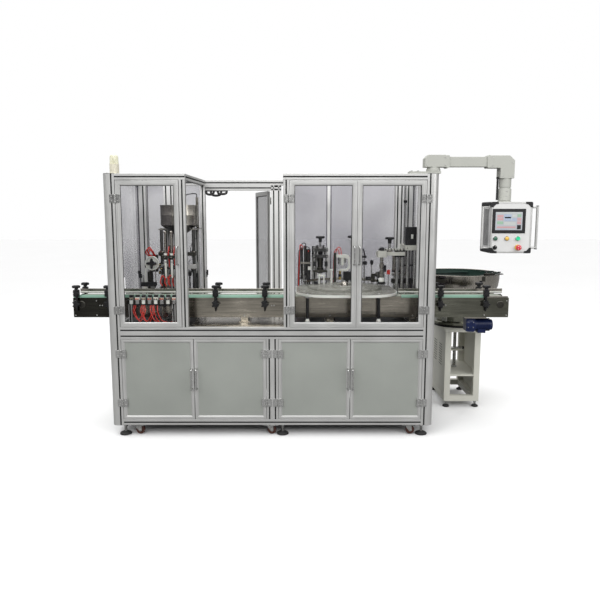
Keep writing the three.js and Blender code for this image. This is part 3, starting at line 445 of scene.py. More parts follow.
posts = Shape("alu_z")
for cx, cy in CORNERS:
    sx, sy = (1 if cx == 0 else -1), (1 if cy == 0 else -1)
    outline = [*arc(PROFILE, PROFILE, PROFILE, 180, 270, 10), (POST, 0), (POST, POST), (0, POST)]
    slots = [*([] for _ in range(10)), [20], [20, 60], [20, 60], [20]]
    if sx * sy < 0:  # mirrored corners run the other way round
        outline = [outline[-i] for i in range(len(outline))]
        slots = [slots[-i - 1] for i in range(len(slots))]
        slots = [sorted(len(s) * PROFILE - d for d in s) for s in slots]
    inner = [i for i, s in enumerate(slots) if len(s) > 1]
    # the rear corners' inner sides take painted light
    posts.slotted("z", BASE_LOW, TOP, [(cx + sx * u, cy + sy * v) for u, v in outline], slots,
                  lit=inner if cy else ())
    cap = [*arc(PROFILE, PROFILE, PROFILE - 1, 180, 270), (79, 1), (79, 79), (1, 79)]
    posts.prism("z", [(cx + sx * u, cy + sy * v) for u, v in cap], TOP - 0.5, TOP + 2.5, "black")
posts.piece("corner_posts", replaces=["base_frame"])

beams = Shape("alu_x")
levels = ((BASE_BEAM, BASE_BEAM + PROFILE), (DECK - POST, DECK), (TOP - PROFILE, TOP))
for y in (0, BACK):
    for low, high in levels[:2]:
        beams.bar("x", POST, LENGTH - POST, y, y + PROFILE, low, high)
    beams.bar("z", BASE_BEAM + PROFILE, DECK - POST, *MID, y, y + PROFILE)
    beams.bar("z", BASE_LOW, BASE_BEAM, *MID, y, y + PROFILE)
for x in (0, LENGTH - PROFILE):
    for low, high in levels:
        beams.bar("y", POST, DEPTH - POST, x, x + PROFILE, low, high)
for low in (BASE_BEAM, DECK - 45):
    beams.bar("y", PROFILE, BACK, *MID, low, low + PROFILE)
# the side stile is painted brighter: painted light
beams.bar("z", ON_DECK, TOP - 36, 2136, 2174, 380, 418, "alu_lit")  # the side stile and its clip
beams.box(2149, 2161, 372, 380.5, 1390, 1412, "black")
beams.piece("base_beams")

panels = Shape("sheet")
for x in (20, LENGTH - 20):
    panels.box(x - 2, x + 2, 79, DEPTH - 79, BASE_BEAM + 39, DECK - 79)
for x0, x1 in ((79, MID[0] + 1), (MID[1] - 1, LENGTH - 79)):
    panels.box(x0, x1, DEPTH - 22, DEPTH - 18, BASE_BEAM + 39, DECK - 79)
panels.piece("base_panels", bevel=0.6)

feet = Shape("rubber")
for x in (79, 1170, 2131):
    for y in (45, DEPTH - 45):
        feet.lathe("z", [(36, 0), (40, 2), (40, 9), (37, 13), (18, 22), (12, 25)], x, y)
        feet.lathe("z", [(13, 22), (13, 27), (8, 30), (8, 84)], x, y, "zinc", 20)
        feet.rod("z", 14, 58, 68, x, y, "zinc", 6)
        for z in range(32, 58, 3):
            feet.lathe("z", [(8, z), (9.2, z + 0.8), (9.2, z + 1.4), (8, z + 2.2)], x, y, "zinc", 16)
feet.piece("levelling_feet")

HINGE_LONG, HINGE_LEAF, PIN_Y = 54, 32, -8
LOWER_HINGES, UPPER_HINGES = (237, 578), (877, 1615)
LOWER_PINS = (81, 1061, 1143, 2119)
UPPER_PINS = (81, 1221, 2119)


def leaf(shape, near, far, z, finish="bright"):
    """One hinge leaf lying on the front faces, with two countersunk screws."""
    x0, x1 = sorted((near, far))
    low, high = z - HINGE_LONG / 2, z + HINGE_LONG / 2
    outline = rounded(x0, x1, low, high, 3, 3)
    shape.rings([[(u, y, v) for u, v in outline] for y in (0.5, -4.2)], finish)
    inner = rounded(x0 + 0.8, x1 - 0.8, low + 0.8, high - 0.8, 2.5, 3)
    shape.rings([[(u, y, v) for u, v in inner] for y in (-4, -5)], finish)
    shape.screws("y", -4.6, [(x0 + x1) / 2], (z - 14, z + 14), -1, 4.2)


leaves = Shape("bright")
pins = [(pin, side, LOWER_HINGES) for pin, side in zip(LOWER_PINS, (1, -1, 1, -1))]
pins += [(pin, side, UPPER_HINGES) for pin, side in zip(UPPER_PINS, (1, 1, -1))]
for pin, side, heights in pins:
    for z in heights:
        leaf(leaves, pin - side * 6.6, pin - side * (HINGE_LEAF + 4), z)
leaves.piece("post_hinge_leaves", bevel=0.4)

upper = Shape("alu_z")
# the rear bars are painted brighter: painted light
for *span, y in ((*INNER_LEFT, 0), (*INNER_LEFT, BACK), (*MID, BACK)):
    upper.bar("z", ON_DECK, TOP - PROFILE, *span, y, y + PROFILE, "alu_lit" if y else None)
for y in (0, BACK):
    upper.bar("x", PAST_POST, INNER_LEFT[1], y, y + PROFILE, TOP - PROFILE, TOP)
upper.bar("y", PROFILE, BACK, *INNER_LEFT, TOP - PROFILE, TOP)
upper.bar("x", INNER_LEFT[1], MID[1], BACK, DEPTH, TOP - 2 * PROFILE, TOP)
upper.piece("filling_enclosure", replaces=["left_enclosure_frame"])

upper = Shape("alu_z")
# the rear bars and the pane's bead are painted brighter: painted light
for *span, y in ((*INNER_RIGHT, 0), (*INNER_RIGHT, BACK), (1500, 1540, BACK)):
    upper.bar("z", ON_DECK, TOP - PROFILE, *span, y, y + PROFILE, "alu_lit" if y else None)
upper.box(1506, 1530, 851.5, 855.4, ON_DECK, TOP - PROFILE, "alu_lit")  # the bead that holds the rear pane
upper.bar("y", PROFILE, BACK, *INNER_RIGHT, TOP - PROFILE, TOP)
for x, y in ((INNER_RIGHT[0], 0), (MID[1] + GAP, BACK)):
    upper.bar("x", x, LENGTH - PAST_POST, y, y + PROFILE, TOP - PROFILE, TOP)
upper.box(2005, 2207, 4, 96, TOP + GAP, ARM_PLATE, "casting")
upper.screws("z", ARM_PLATE, (2018, 2060, 2194), (16, 84), 1, 7)
upper.piece("capping_enclosure", replaces=["right_enclosure_frame"], bevel=0.5)

PANES = {"glass_clear": ("left_bay", "right_bay", "left_door", "right_door_a", "right_door_b"),
         "glass_tinted": ("left_side", "right_side", "left_rear", "right_rear")}
for finish, names in PANES.items():  # the panes keep their CAD shape
    for name in names:
        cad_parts[f"{name}_glass"].material_slots[0].material = MATERIALS[finish]

# The deck is three sheets: a bright one in the open bay and, in each enclosure, a black one whose darkness is
# painted shade
DECK_LOW, BAY = DECK - 4, (INNER_LEFT[1], INNER_RIGHT[0])
deck = Shape("deck_steel")
deck.box(BAY[0] + GAP, BAY[1] - GAP, INSIDE, DEPTH - INSIDE, DECK_LOW, DECK)
SHEETS = ((INSIDE, PAST_POST, BAY[0] - GAP), (LENGTH - INSIDE, LENGTH - PAST_POST, BAY[1] + GAP))
for end, near, joint in SHEETS:
    half = [(end, PAST_POST), (near, PAST_POST), (near, INSIDE), (joint, INSIDE)]
    outline = [*half, *((x, DEPTH - y) for x, y in half[::-1])]
    deck.prism("z", outline, DECK_LOW, DECK, "deck_black")
deck.piece("deck_sheets", replaces=["deck_plate"])


# Doors
def handle(shape, x, z, length):
    """A bow handle on two round feet."""
    low, high = z - length / 2 + 6, z + length / 2 - 6
    bow = [(x, 1, low), (x, -22, low), (x, -31, low + 3), (x, -33, low + 14), (x, -33, z),
           (x, -33, high - 14), (x, -31, high - 3), (x, -22, high), (x, 1, high)]
    shape.tube(bow, 5.5, "bright", 14, 5)
    for end in (low, high):
        shape.lathe("y", [(8, 0.5), (8, -4), (6.5, -6)], x, end, "bright", 20)


def hinges(shape, pin, side, heights):
    for z in heights:
        leaf(shape, pin + side * 3, pin + side * HINGE_LEAF, z)
        for k, (a, b) in enumerate(((-27, -9.4), (-9, 9), (9.4, 27))):
            shape.rod("z", 6 if k == 1 else 5.8, z + a, z + b, pin, PIN_Y, "bright", 18)
        shape.prism("z", [(pin - 4, PIN_Y + 3), (pin + 4, PIN_Y + 3), (pin + side * 8, 0), (pin, 0)],
                    z - 9, z + 9, "bright")


LOWER_SPANS = ((82, 569), (573, 1060), (1144, 1629), (1633, 2118))
for i, (x0, x1) in enumerate(LOWER_SPANS):
    side = -1 if i % 2 else 1
    door = Shape("sheet")
    rim = [(0, 20), (0, 1.2), (1.2, 0), (15, 0), (16, 1.5), (17.5, 1.5), (24, 7.5), (24, 20)]
    door.border(x0, x1, 120, 678, rim)
    door.box(x0 + 23, x1 - 23, 8, 12, 143, 655, "sheet")
    hinges(door, LOWER_PINS[i], side, LOWER_HINGES)
    handle(door, x1 - 14 if side > 0 else x0 + 14, 405, 150)
    door.moving(f"lower_door_{i + 1}_panel", f"lower_door_{i + 1}")

UPPER_DOORS = (("left_door", 83, 496, 81, 1), ("right_door_a", 1222, 1665, 1221, 1),
               ("right_door_b", 1667, 2117, 2119, -1))
for name, x0, x1, pin, side in UPPER_DOORS:
    door = Shape("alu_z")
    rim = [(0, 20), (0, 1.2), (1.2, 0), (10, 0), (10.6, 1.4), (13.4, 1.4), (14, 0), (26, 0), (32, 4.5),
           (32, 20)]
    door.border(x0, x1, 762, 1733, rim)
    door.border(x0, x1, 762, 1733, [(31.5, 7.6), (31.5, 4.8), (36, 5.6), (36, 7.6)], "rubber")
    hinges(door, pin, side, UPPER_HINGES)
    handle(door, x1 - 16 if side > 0 else x0 + 16, 1245, 130)
    door.moving(f"{name}_frame", name)

OPEN_ANGLE = math.radians(-75)  # the rear door stands open at rest
PIN = Vector((1061, 908, 0))
swing = Matrix.Translation(PIN) @ Matrix.Rotation(OPEN_ANGLE, 4, "Z") @ Matrix.Translation(-PIN)
door = Shape("alu_z")
rim = [(0, 880), (0, 898.8), (1.2, 900), (24, 900), (30, 895.5), (30, 880)]
edges = (545, 1059, 766, 1690)
door.border(*edges, rim)
for face in (886.5, 893):
    door.border(*edges, [(29.5, face - 1), (35, face - 1), (35, face + 1), (29.5, face + 1)], "rubber")
door.border(*edges, [(-3, 882), (-3, 885), (1, 886), (1, 881)], "rubber")
for z in UPPER_HINGES:
    door.rod("z", 6, z - 27, z + 27, PIN.x, PIN.y, "bright", 18)
    door.box(PIN.x - 32, PIN.x, 899, 904.8, z - 27, z + 27, "bright")
    door.screws("y", 904.6, [PIN.x - 18], (z - 14, z + 14), 1, 4)
door.move(swing).moving("rear_door_frame", "rear_door")
door = Shape("glass_smoked")
door.box(574, 1030, 888, 892, 795, 1661)
door.move(swing).piece("rear_door_glass", "rear_door")

# Beacon
beacon = Shape("beacon_base")
beacon.prism("z", rounded(8, 92, 62, 138, 10), TOP + GAP, TOP + 5)
ribs = [(26, TOP + 4), (31, TOP + 5)]
for k in range(9):
    z = TOP + 8 + k * 6.5
    ribs += [(31, z), (31, z + 3.8), (29.4, z + 4.6), (29.4, z + 5.6)]
beacon.lathe("z", [*ribs, (31, 1842), (31, 1844), (28, 1844)], 57, 100, sides=40)
beacon.lathe("z", [(9, 1843), (9, 1868), (14, 1872), (14, 1876), (6, 1884)], 57, 100, "bright", 24)
beacon.screws("z", TOP + 5, (16, 84), [70])
beacon.piece("beacon_body", replaces=["beacon"])
lens = Shape("lens")
steps = [(28.4, 1843)]
for k in range(8):
    z = 1845 + k * 6
    steps += [(29 - k * 0.25, z), (29 - k * 0.25, z + 4.4), (28 - k * 0.25, z + 5.2)]
lens.lathe("z", [*steps, (26, 1896), (20, 1901), (8, 1902)], 57, 100, sides=40)
lens.piece("beacon_lens")

# Casters
CASTERS = {"front_left": (169, 45), "front_middle": (1081, 45), "front_right": (2040, 45),
           "rear_left": (169, DEPTH - 45), "rear_right": (2040, DEPTH - 45)}
CROWN = 70 - GAP  # the top of a fork
plates = Shape("zinc")
for place_name, (x, y) in CASTERS.items():
    plates.prism("z", rounded(x - 45, x + 45, y - 38, y + 38, 6), 70, 74)
    plates.rod("z", 22, 72, 79, x, y)
    plates.screws("z", 70.2, (x - 34, x + 34), (y - 26, y + 26), -1, 5)
    axle = x + 14
    fork = Shape("zinc")
    cheek = [(x - 20, CROWN), (x + 22, CROWN), (axle + 11, 40), *arc(axle, 33, 11, 20, -160, 8), (x - 14, 52)]
    for near, far in ((y - 18, y - 15.4), (y + 15.4, y + 18)):
        fork.prism("y", cheek, near, far)
    fork.box(x - 20, x + 20, y - 17.9, y + 17.9, CROWN - 4, CROWN)
    fork.rod("y", 4, y - 20, y + 20, axle, 33, "bright")
    for way in (-1, 1):
        nut = [(8, y + way * 17.5), (8, y + way * 21), (5, y + way * 22)]
        fork.lathe("y", nut, axle, 33, "bright", 6)
    fork.moving(f"caster_{place_name}_fork", f"caster_fork_{place_name}", 0.5)
    wheel = Shape("tread")
    half = [(5, 11), (11, 11), (12, 8), (21, 8), (23, 12), (27, 12), (30, 7)]
    tyre = [*((radius, y - d) for radius, d in half), *((radius, y + d) for radius, d in half[::-1])]
    wheel.lathe("y", tyre, axle, 33, closed=True)
    wheel.moving(f"caster_{place_name}_wheel", f"caster_wheel_{place_name}")
plates.piece("caster_plates", bevel=0.4)

# Conveyor
X0, X1, FRONT, REAR, LOW, HIGH = -296, 2750, 190, 340, 797, 944
ROLLERS = {"tail_roller": -236, "drive_roller": 2690}
ROLLER_Z, BELT_R = 888, 58
SPACERS, LEGS = (-100, 500, 1100, 1700, 2300), (300, 900, 1500, 2080)
CLAMPS = (-264, -47, 702, 1045, 2268, 2585)
rails = Shape("plate_steel")
for near, far, out in ((FRONT, FRONT + 4, -1), (REAR - 4, REAR, 1)):
    rails.box(20, 2180, near, far, LOW, HIGH)
    face = near if out < 0 else far
    # the end plates are darker copies of the plate steel: painted shade
    ends = ((X0, 20, 1, 178, "plate_dark"), (X1, 2180, -1, 183, "plate_dull"))
    for end, joint, way, long, finish in ends:  # the plates' ends and the doublers over their bearings
        plate = [(joint, LOW), (joint, HIGH), (end + way * 12, HIGH), (end, HIGH - 12), (end, LOW + 3),
                 (end + way * 3, LOW)]
        rails.prism("y", plate, near, far, finish)
        x0, x1 = sorted((end + way, end + way * long))
        rails.prism("y", rounded(x0, x1, LOW + 2, HIGH - 13, 5, 4), *sorted((face, face + out * 2.5)), finish)
        rails.screws("y", face + out * 2.5, (x0 + 14, x1 - 14), (LOW + 16, HIGH - 30), out)
    for x in ROLLERS.values():
        ring = [(26, face), (26, face + out * 5), (24, face + out * 6.5), (18, face + out * 6.5),
                (17, face + out * 4), (11, face + out * 4), (11, face + out * 7.5), (4, face + out * 7.5)]
        rails.lathe("y", ring, x, ROLLER_Z, "dark_steel", 28)
    rails.screws("y", face, [x + dx for x in SPACERS for dx in (-9, 9)], [881], out)
    rails.screws("y", face, LEGS, [LOW + 12], out, 5.5)
for x in SPACERS:
    rails.box(x - 15, x + 15, FRONT + 3, REAR - 3, 870, 892)
for x in LEGS:
    rails.box(x - 25, x + 25, FRONT + 3, REAR - 3, DECK + 6, 806)
    rails.box(x - 40, x + 40, FRONT - 6, REAR + 6, ON_DECK, ON_DECK + 6)
    rails.screws("z", ON_DECK + 6, (x - 32, x + 32), (FRONT - 1, REAR + 1))
rails.piece("conveyor_rails", replaces=["conveyor_frame"], bevel=0.4)

strips = Shape("mint")
lip = [(186, 937), (187, 936), (190, 936), (191, 938), (191, 955), (189, 957), (187, 957), (186, 955)]
guard = [(328, 952), (331, 951), (331, 983), (329.6, 984), (328, 983)]
wear_strip = [(325.5, 956), (328, 955), (328, 964), (325.5, 963)]
for x0, front_end, rear_end in ((X0 + 6, 1247, 1247), (1997, X1 - 178, X1 - 6)):
    strips.prism("x", lip, x0, front_end)
    strips.prism("x", guard, x0, rear_end, "steel_x")
    strips.prism("x", wear_strip, x0 + 2, rear_end - 2, "white")
strips.prism("x", [(186, 937), (190, 936), (190, 947), (186, 946)], X1 - 178, X1 - 10, "steel_x")
strips.piece("guide_strips")


def clamp(shape, x, y, way, wall):
    """A guide clamp: a block on the side plate, its post, a star knob on the plate and a star grip on top."""
    shape.box(x - 17, x + 17, *sorted((y + 10 * way, wall)), 874, 916, "black")
    shape.rod("y", 8, *sorted((y + 10 * way, y + 20 * way)), x, 895, "zinc")
    shape.lobed("y", 29, *sorted((y + 10 * way, y + 26 * way)), x, 893, 5, 0.42)
    shape.rod("z", 5, 842, 876, x, y, "black", end=9)
    shape.rod("z", 9, 914, 1004, x, y, "black")
    shape.box(x - 19, x + 19, y - 13, y + 13, 946, 992, "black")
    shape.lobed("y", 22, *sorted((y + 13 * way, y + 24 * way)), x, 970, 5, 0.42)
    shape.lathe("z", [(16, 996), (12, 1002), (12, 1008)], x, y, "black", 24)
    shape.lobed("z", 29, 1006, 1024, x, y, 5, 0.3)


clamps = Shape("black")
for x in CLAMPS:
    clamp(clamps, x, 174, -1, FRONT - 0.2)
    clamp(clamps, x, 356, 1, REAR + 0.2)
    clamps.rod("y", 5, 330, 358, x, 968, "zinc")
clamps.piece("guide_clamps", bevel=0.8)

chain = Shape("slats")
tail, span = ROLLERS["tail_roller"], ROLLERS["drive_roller"] - ROLLERS["tail_roller"]
half_loop = span + math.pi * BELT_R
slat_count = round(2 * half_loop / 38.1)
pitch = 2 * half_loop / slat_count
half = pitch / 2 - 0.6
section = [(-half, -1.2), (-half + 1, 0), (half - 1, 0), (half, -1.2), (half - 2, -3.9), (2 - half, -3.9)]
for i in range(slat_count):  # along the top and round the drive roller, then back the same way underneath
    below, s = divmod((i + 0.5) * pitch, half_loop)
    x, angle = min(s, span) - span / 2, -max(s - span, 0) / BELT_R
    way = -1 if below else 1
    c, n = way * math.cos(angle), way * math.sin(angle)
    cx, cz = tail + span / 2 + way * x - BELT_R * n, ROLLER_Z + BELT_R * c
    chain.prism("y", [(cx + t * c - h * n, cz + t * n + h * c) for t, h in section], 198.5, 331.5)
chain.piece("slat_chain", replaces=["conveyor_belt"])

for name, x in ROLLERS.items():
    roller = Shape("zinc")
    drum = [(12, 200), (30, 200), (30, 206), (46, 206), (52, 212)]
    drum += [(radius, 530 - y) for radius, y in drum[::-1]]
    roller.lathe("y", drum, x, ROLLER_Z, "black", closed=True)
    for spot in around(12, 46, x, ROLLER_Z):
        roller.rod("y", 5, 214, 316, *spot, "black", 10)
    roller.rod("y", 12, FRONT + 4.4, REAR - 4.4, x, ROLLER_Z)
    roller.moving(f"{name}_drum", name)

motor = Shape("navy")
motor.box(2450, 2600, FRONT + 6, REAR - 6, 788, LOW - 0.4, "steel_x")
motor.prism("y", rounded(2468, 2530, 686, 787, 10), 224, 306)
motor.lathe("y", [(34, 228), (34, 219), (30, 216), (16, 216), (14, 219)], 2499, 738, "navy", 32)
for spot in around(4, 25, 2499, 738, math.pi / 4):
    motor.screw("y", 219, *spot, -1, 4)
shell = [(30, 2528), (44, 2530), (46, 2534)]
for k in range(12):
    x = 2538 + k * 8
    shell += [(46, x), (46, x + 3), (42, x + 3.6), (42, x + 7)]
motor.lathe("x", [*shell, (46, 2636), (46, 2640), (38, 2641), (38, 2654), (35, 2659), (10, 2660)], 265, 732,
            sides=44)
motor.prism("z", rounded(2552, 2608, 226, 300, 6), 678, 704)
motor.screws("z", 678.5, (2558, 2602), (232, 294), -1, 3)
motor.piece("gearmotor", replaces=["drive_motor"], bevel=1.2)

# Dial table and star wheel
DIAL, DIAL_TOP = (1622, 500), 966
table = Shape("white")
LAYERS = ((948, 949.5, 1.5, "white"), (949.5, 964.5, 0, "white"), (964.5, 965.6, 1.5, "white"),
          (965.5, DIAL_TOP, 4, "dial_grey"))
for low, high, inset, finish in LAYERS:
    edge = rounded(1259 + inset, 1985 - inset, 80 + inset, 800 - inset, 240 - inset, 14)
    table.prism("z", edge, low, high, finish)
for x, y in ((1342, 150), (1836, 150), (1342, 720), (1836, 720)):
    table.rod("z", 10, DECK + 30, 949, x, y, "black")
    table.lathe("z", [(20, 940), (20, 948.4), (12, 949)], x, y, "zinc")
    bullet = [(17, DECK + 0.4), (18, DECK + 5), (17, DECK + 14), (13, DECK + 26), (11, DECK + 34)]
    table.lathe("z", bullet, x, y, "white")
    table.screw("z", DIAL_TOP - 0.4, x, y, 1, 6)
table.piece("dial_plate", replaces=["dial_table"])

star = Shape("dial_grey")
POCKETS, STAR_R, PITCH_R, POCKET_R = 8, 270, 275, 24
outline = []
mouth = math.degrees(math.asin(POCKET_R * 0.98 / STAR_R)) + 0.4
for k, spot in enumerate(around(POCKETS, PITCH_R, *DIAL)):
    turn, after = 360 * k / POCKETS, 360 * (k + 1) / POCKETS
    outline += arc(*spot, POCKET_R, turn - 96, turn - 264, 14)
    outline += arc(*DIAL, STAR_R, turn + mouth, after - mouth, 8)
star.prism("z", outline, DIAL_TOP + GAP, DIAL_TOP + 14)
star.lathe("z", [(98, 970), (98, 984), (95, 986.3), (40, 986.3)], *DIAL, sides=64)
boss = [(30, 985), (30, 990), (27, 1004), (24, 1010), (18, 1014.3)]
star.lathe("z", boss, *DIAL, "steel_z", 40)
star.screw("z", 1014, *DIAL, 1, 9)
for spot in around(6, 70, *DIAL):
    star.screw("z", 986.2, *spot, 1, 6)
star.moving("star_wheel_disc", "star_wheel", bevel=1)

# Filling station
RODS, ROD_Y, ROD_R, COLLAR_BORE = (258, 496), 540, 12, 12.8
CYLINDERS, CYL_Y = (300, 410), 470
NOZZLES, NOZZLE_Y = (343, 386), 265
HOP, HOP_R = (376, 640), 140
station = Shape("alu_x")
station.box(200, 515, 420, 830, ON_DECK, 774, "steel_x")
for x in (240, 480):
    station.bar("z", 773, 1396, x - 14, x + 14, 790, 818)
for x in RODS:
    station.rod("z", ROD_R, 773, 1403, x, ROD_Y, "gunmetal", 32)
    station.lathe("z", [(21, 774), (21, 792), (19, 794), (13, 794)], x, ROD_Y, "black", 32)
    station.box(x - 18, x + 18, 522, 602, 1396, 1404, "steel_y")
    station.rod("z", 9, 1403, 1412, x, ROD_Y, "zinc", 6)
station.screws("z", 774, (212, 503), (434, 816), 1, 6)
cradle = [(226, 600), (277, 600), *arc(*HOP, 100, 203, -23, 20), (475, 600), (514, 600), (514, 818),
          (226, 818)]
station.prism("z", cradle, 1396, 1404, "steel_x")
# the mast is painted brighter: painted light
station.bar("z", 773, 1730, 220, 300, 816, 856, "alu_lit")
station.piece("filling_station_frame", replaces=["filling_frame"], bevel=0.7)

hopper = Shape("hopper_steel")
wall = [(HOP_R, 1431), (HOP_R, 1500), (HOP_R + 0.8, 1502), (HOP_R + 0.8, 1506), (HOP_R, 1508), (HOP_R, 1574),
        (HOP_R + 2, 1576), (HOP_R + 2, 1579), (HOP_R, 1580), (HOP_R - 3, 1579), (HOP_R - 3, 1431.5)]
# the cone is in dark steel: painted shade and painted reflection of the dark interior beneath it
cone = [(22, 1326), (22, 1345), (HOP_R, 1430), (HOP_R, 1431), (HOP_R - 3, 1431.5), (19, 1346.5), (19, 1326)]
hopper.lathe("z", wall, *HOP, sides=64, closed=True)
hopper.lathe("z", cone, *HOP, "dark_steel", 64, closed=True)
hopper.lathe("z", [(28, 1326.4), (28, 1331), (22, 1332)], *HOP, "bright", 40)
hopper.piece("product_hopper", replaces=["hopper"])

probe = Shape("rubber")
probe.box(480, 500, 772, 786, 1404, 1640, "steel_z")
probe.tube([(490, 768, 1640), (490, 760, 1662), (478, 740, 1668), (446, 700, 1664), (428, 660, 1655),
            (424, 650, 1630), (424, 650, 1590)], 3.5, sides=12)
probe.rod("z", 5, 1470, 1592, 424, 650, "bright", 16)
probe.piece("level_probe")

block = Shape("steel_x")
block.boxes(
    (262, 448, 430, 512, 860, 900), (275, 435, 440, 500, 1046, 1064),
    (346, 364, 424, 431, 866, 894, "black"))
for x in CYLINDERS:
    barrel = [(31, 898), (31, 910), (28, 913), (28, 1034), (31, 1036), (31, 1048)]
    block.lathe("z", barrel, x, CYL_Y, "steel_z", 40)
    block.rods("y", (12, 400, 432, x, 880, "bright"), (16, 418, 430, x, 880, "bright", 6))
    block.box(x - 16, x + 16, 454, 486, 774.3, 862, "alu_z")
    for spot in ((x + dx, CYL_Y + dy) for dx in (-23.1, 23.1) for dy in (-23.1, 23.1)):
        block.rods("z", (3.5, 900, 1068, *spot, "bright", 12), (6, 1064, 1070, *spot, "zinc", 6))
    block.rod("z", 14, 1062, 1068, x, CYL_Y, "black")
    block.rod("y", 9, 396, 404, x, 880, "zinc")
block.piece("metering_cylinders", replaces=["cylinder_block"], bevel=0.8)

cross = Shape("alu_x")
cross.boxes((236, 515, 515, 554, 1110, 1140), (280, 430, 448, 520, 1110, 1130, "dark_steel"))
for x in CYLINDERS:
    cross.rods("z",
        (8.3, 1071, 1112, x, CYL_Y, "bright"), (13, 1104, 1110, x, CYL_Y, "zinc", 6),
        (12, 1130, 1138, x, CYL_Y, "zinc", 6))
for x in RODS:
    cross.collar("z", 19, COLLAR_BORE, 1104, 1142, x, ROD_Y, "steel_z")
cross.moving("piston_crosshead_bar", "piston_crosshead", bevel=0.8)
pistons = Shape("bright")
for x in CYLINDERS:
    pistons.rod("z", 8.3, 962, 1072, x, CYL_Y)
pistons.piece("piston_rods", "piston_crosshead")

lift = Shape("dark_steel")
lift.boxes((236, 515, 516, 554, 1205, 1232), (318, 410, 250, 520, 1205, 1226))
for x in RODS:
    lift.collar("z", 19, COLLAR_BORE, 1204, 1240, x, ROD_Y, "steel_z")
for x in NOZZLES:
    tip = [(4, 1066), (5, 1068), (5, 1082), (8, 1086), (8, 1240)]
    lift.lathe("z", tip, x, NOZZLE_Y, "white", 28)
    pipe = [(7.6, 1239.5), (7.6, 1380), (10, 1382), (10, 1392), (6, 1396)]
    lift.lathe("z", pipe, x, NOZZLE_Y, "steel_z", 28)
    lift.rods("z",
        (12, 1196, 1205, x, NOZZLE_Y, "black", 6), (12, 1226, 1240, x, NOZZLE_Y, "white", 6),
        (10.5, 1176, 1184, x, NOZZLE_Y, "zinc"))
    lift.screw("y", 250, x, 1215.5, -1, 4)
lift.moving("nozzle_carrier", "nozzle_bar", bevel=0.7)

# Shut-off valves beside the nozzles, with their air fittings
shut = Shape("black")
for x in (364, 403):
    shut.box(x - 9, x + 9, 290, 310, 1226, 1262)
    shut.rod("z", 8, 1262, 1296, x, 300, "gunmetal")
    shut.box(x - 8, x + 8, 291, 309, 1130, 1205)
    for z in (1142, 1168, 1192, 1240, 1258, 1284):
        shut.rods("y", (4.5, 281, 292, x, z, "red_hose"), (3.4, 278, 282, x, z, "bright"))
    shut.tube([(x, 282, 1284), (x + 2, 270, 1270), (x - 4, 268, 1222), (x + 3, 272, 1180), (x, 282, 1142)],
              3.4, "red_hose")
shut.piece("nozzle_valves", "nozzle_bar", bevel=0.5)

HUB = (216, 1160)
wheel = Shape("white")
rim = [(46, 391), (50, 391), (52, 393), (52, 398), (50, 400), (20, 401), (16, 398), (16, 396), (44, 396)]
wheel.lathe("y", rim, *HUB, sides=64, closed=True)
wheel.lobed("y", 38, 366, 382, *HUB, 4, 0.62)
wheel.rods("y", (19, 380, 401, *HUB, "black"), (6, 399, 500, *HUB, "bright"))
for k, (c, s) in enumerate(around(36, 1, 0, 0)):  # the scale's marks, every third one longer
    reach = 38 if k % 3 else 34
    mark = [(HUB[0] + r * c + t * s, HUB[1] + r * s - t * c)
            for r, t in ((reach, -0.6), (43, -0.6), (43, 0.6), (reach, 0.6))]
    wheel.prism("y", mark, 395.2, 396.6, "black")
wheel.moving("stroke_handwheel", "volume_handwheel")

# The stroke adjuster behind the handwheel and the small gear round it
gear = Shape("black")
gear.boxes(
    (150, 240, 470, 512, 774, 800, "steel_x"), (160, 196, 476, 506, 800, 1090, "dark_steel"),
    (176, 236, 470, 512, 1090, 1216, "gunmetal"), (132, 236, 404, 440, 990, 1020),
    (140, 168, 410, 436, 975, 992, "white"), (196, 228, 410, 436, 975, 992, "zinc"),
    (262, 290, 412, 436, 960, 986, "steel_x"))
gear.rods("z",
    (5, 1018, 1126, 160, 420, "white"), (13, 1050, 1080, 118, 432), (5, 992, 1056, 140, 430, "bright"),
    (4, 1018, 1180, 232, 424, "bright"), (4, 984, 1160, 274, 424, "bright"))
gear.rod("x", 6, 118, 146, 432, 1064, "zinc")
gear.lobed("y", 15, 404, 416, 118, 1092, 5, 0.3)
for x, z in ((266, 1150), (280, 1120), (268, 1092)):
    gear.box(x - 9, x + 9, 410, 432, z - 12, z + 10)
    gear.rod("y", 5, 398, 412, x, z, "brass", 6)
for x, y, top in ((452, 590, 1075), (478, 600, 1100), (500, 610, 1060)):
    gear.rod("z", 6, 774, top, x, y, "gunmetal")
    gear.box(x - 14, x + 14, y - 12, y + 12, top - 26, top + 8)
    gear.rod("z", 8, top + 6, top + 22, x, y, "zinc", 6)
gear.piece("stroke_adjuster", bevel=0.6)

valves = Shape("alu_x")
valves.box(100, 440, 112, 150, 902, 930, "dark_steel")
for k, x in enumerate(range(118, 430, 42)):
    body = "white" if k % 3 == 1 else "zinc"
    valves.boxes(
        (x, x + 30, 106, 154, 929, 950, body),
        (x + 4, x + 26, 103, 113, 904, 930, "zinc" if k % 2 else "white"),
        (x + 2, x + 28, 108, 132, 949, 964, "black"), (x + 3, x + 27, 134, 153, 949, 958, "zinc"))
    valves.rod("z", 4, 957, 962, x + 15, 143, "brass", 6)
    for dx in (8, 22):
        valves.rod("y", 5, 98, 107, x + dx, 939, "brass", 6)
        valves.rod("y", 4.2, 92, 99, x + dx, 939, "red_hose" if k % 2 else "black", 16)
for x in (120, 420):
    valves.bar("z", ON_DECK, 903, x - 12, x + 12, 120, 144)
valves.piece("valve_island", replaces=["valve_manifold"], bevel=0.6)

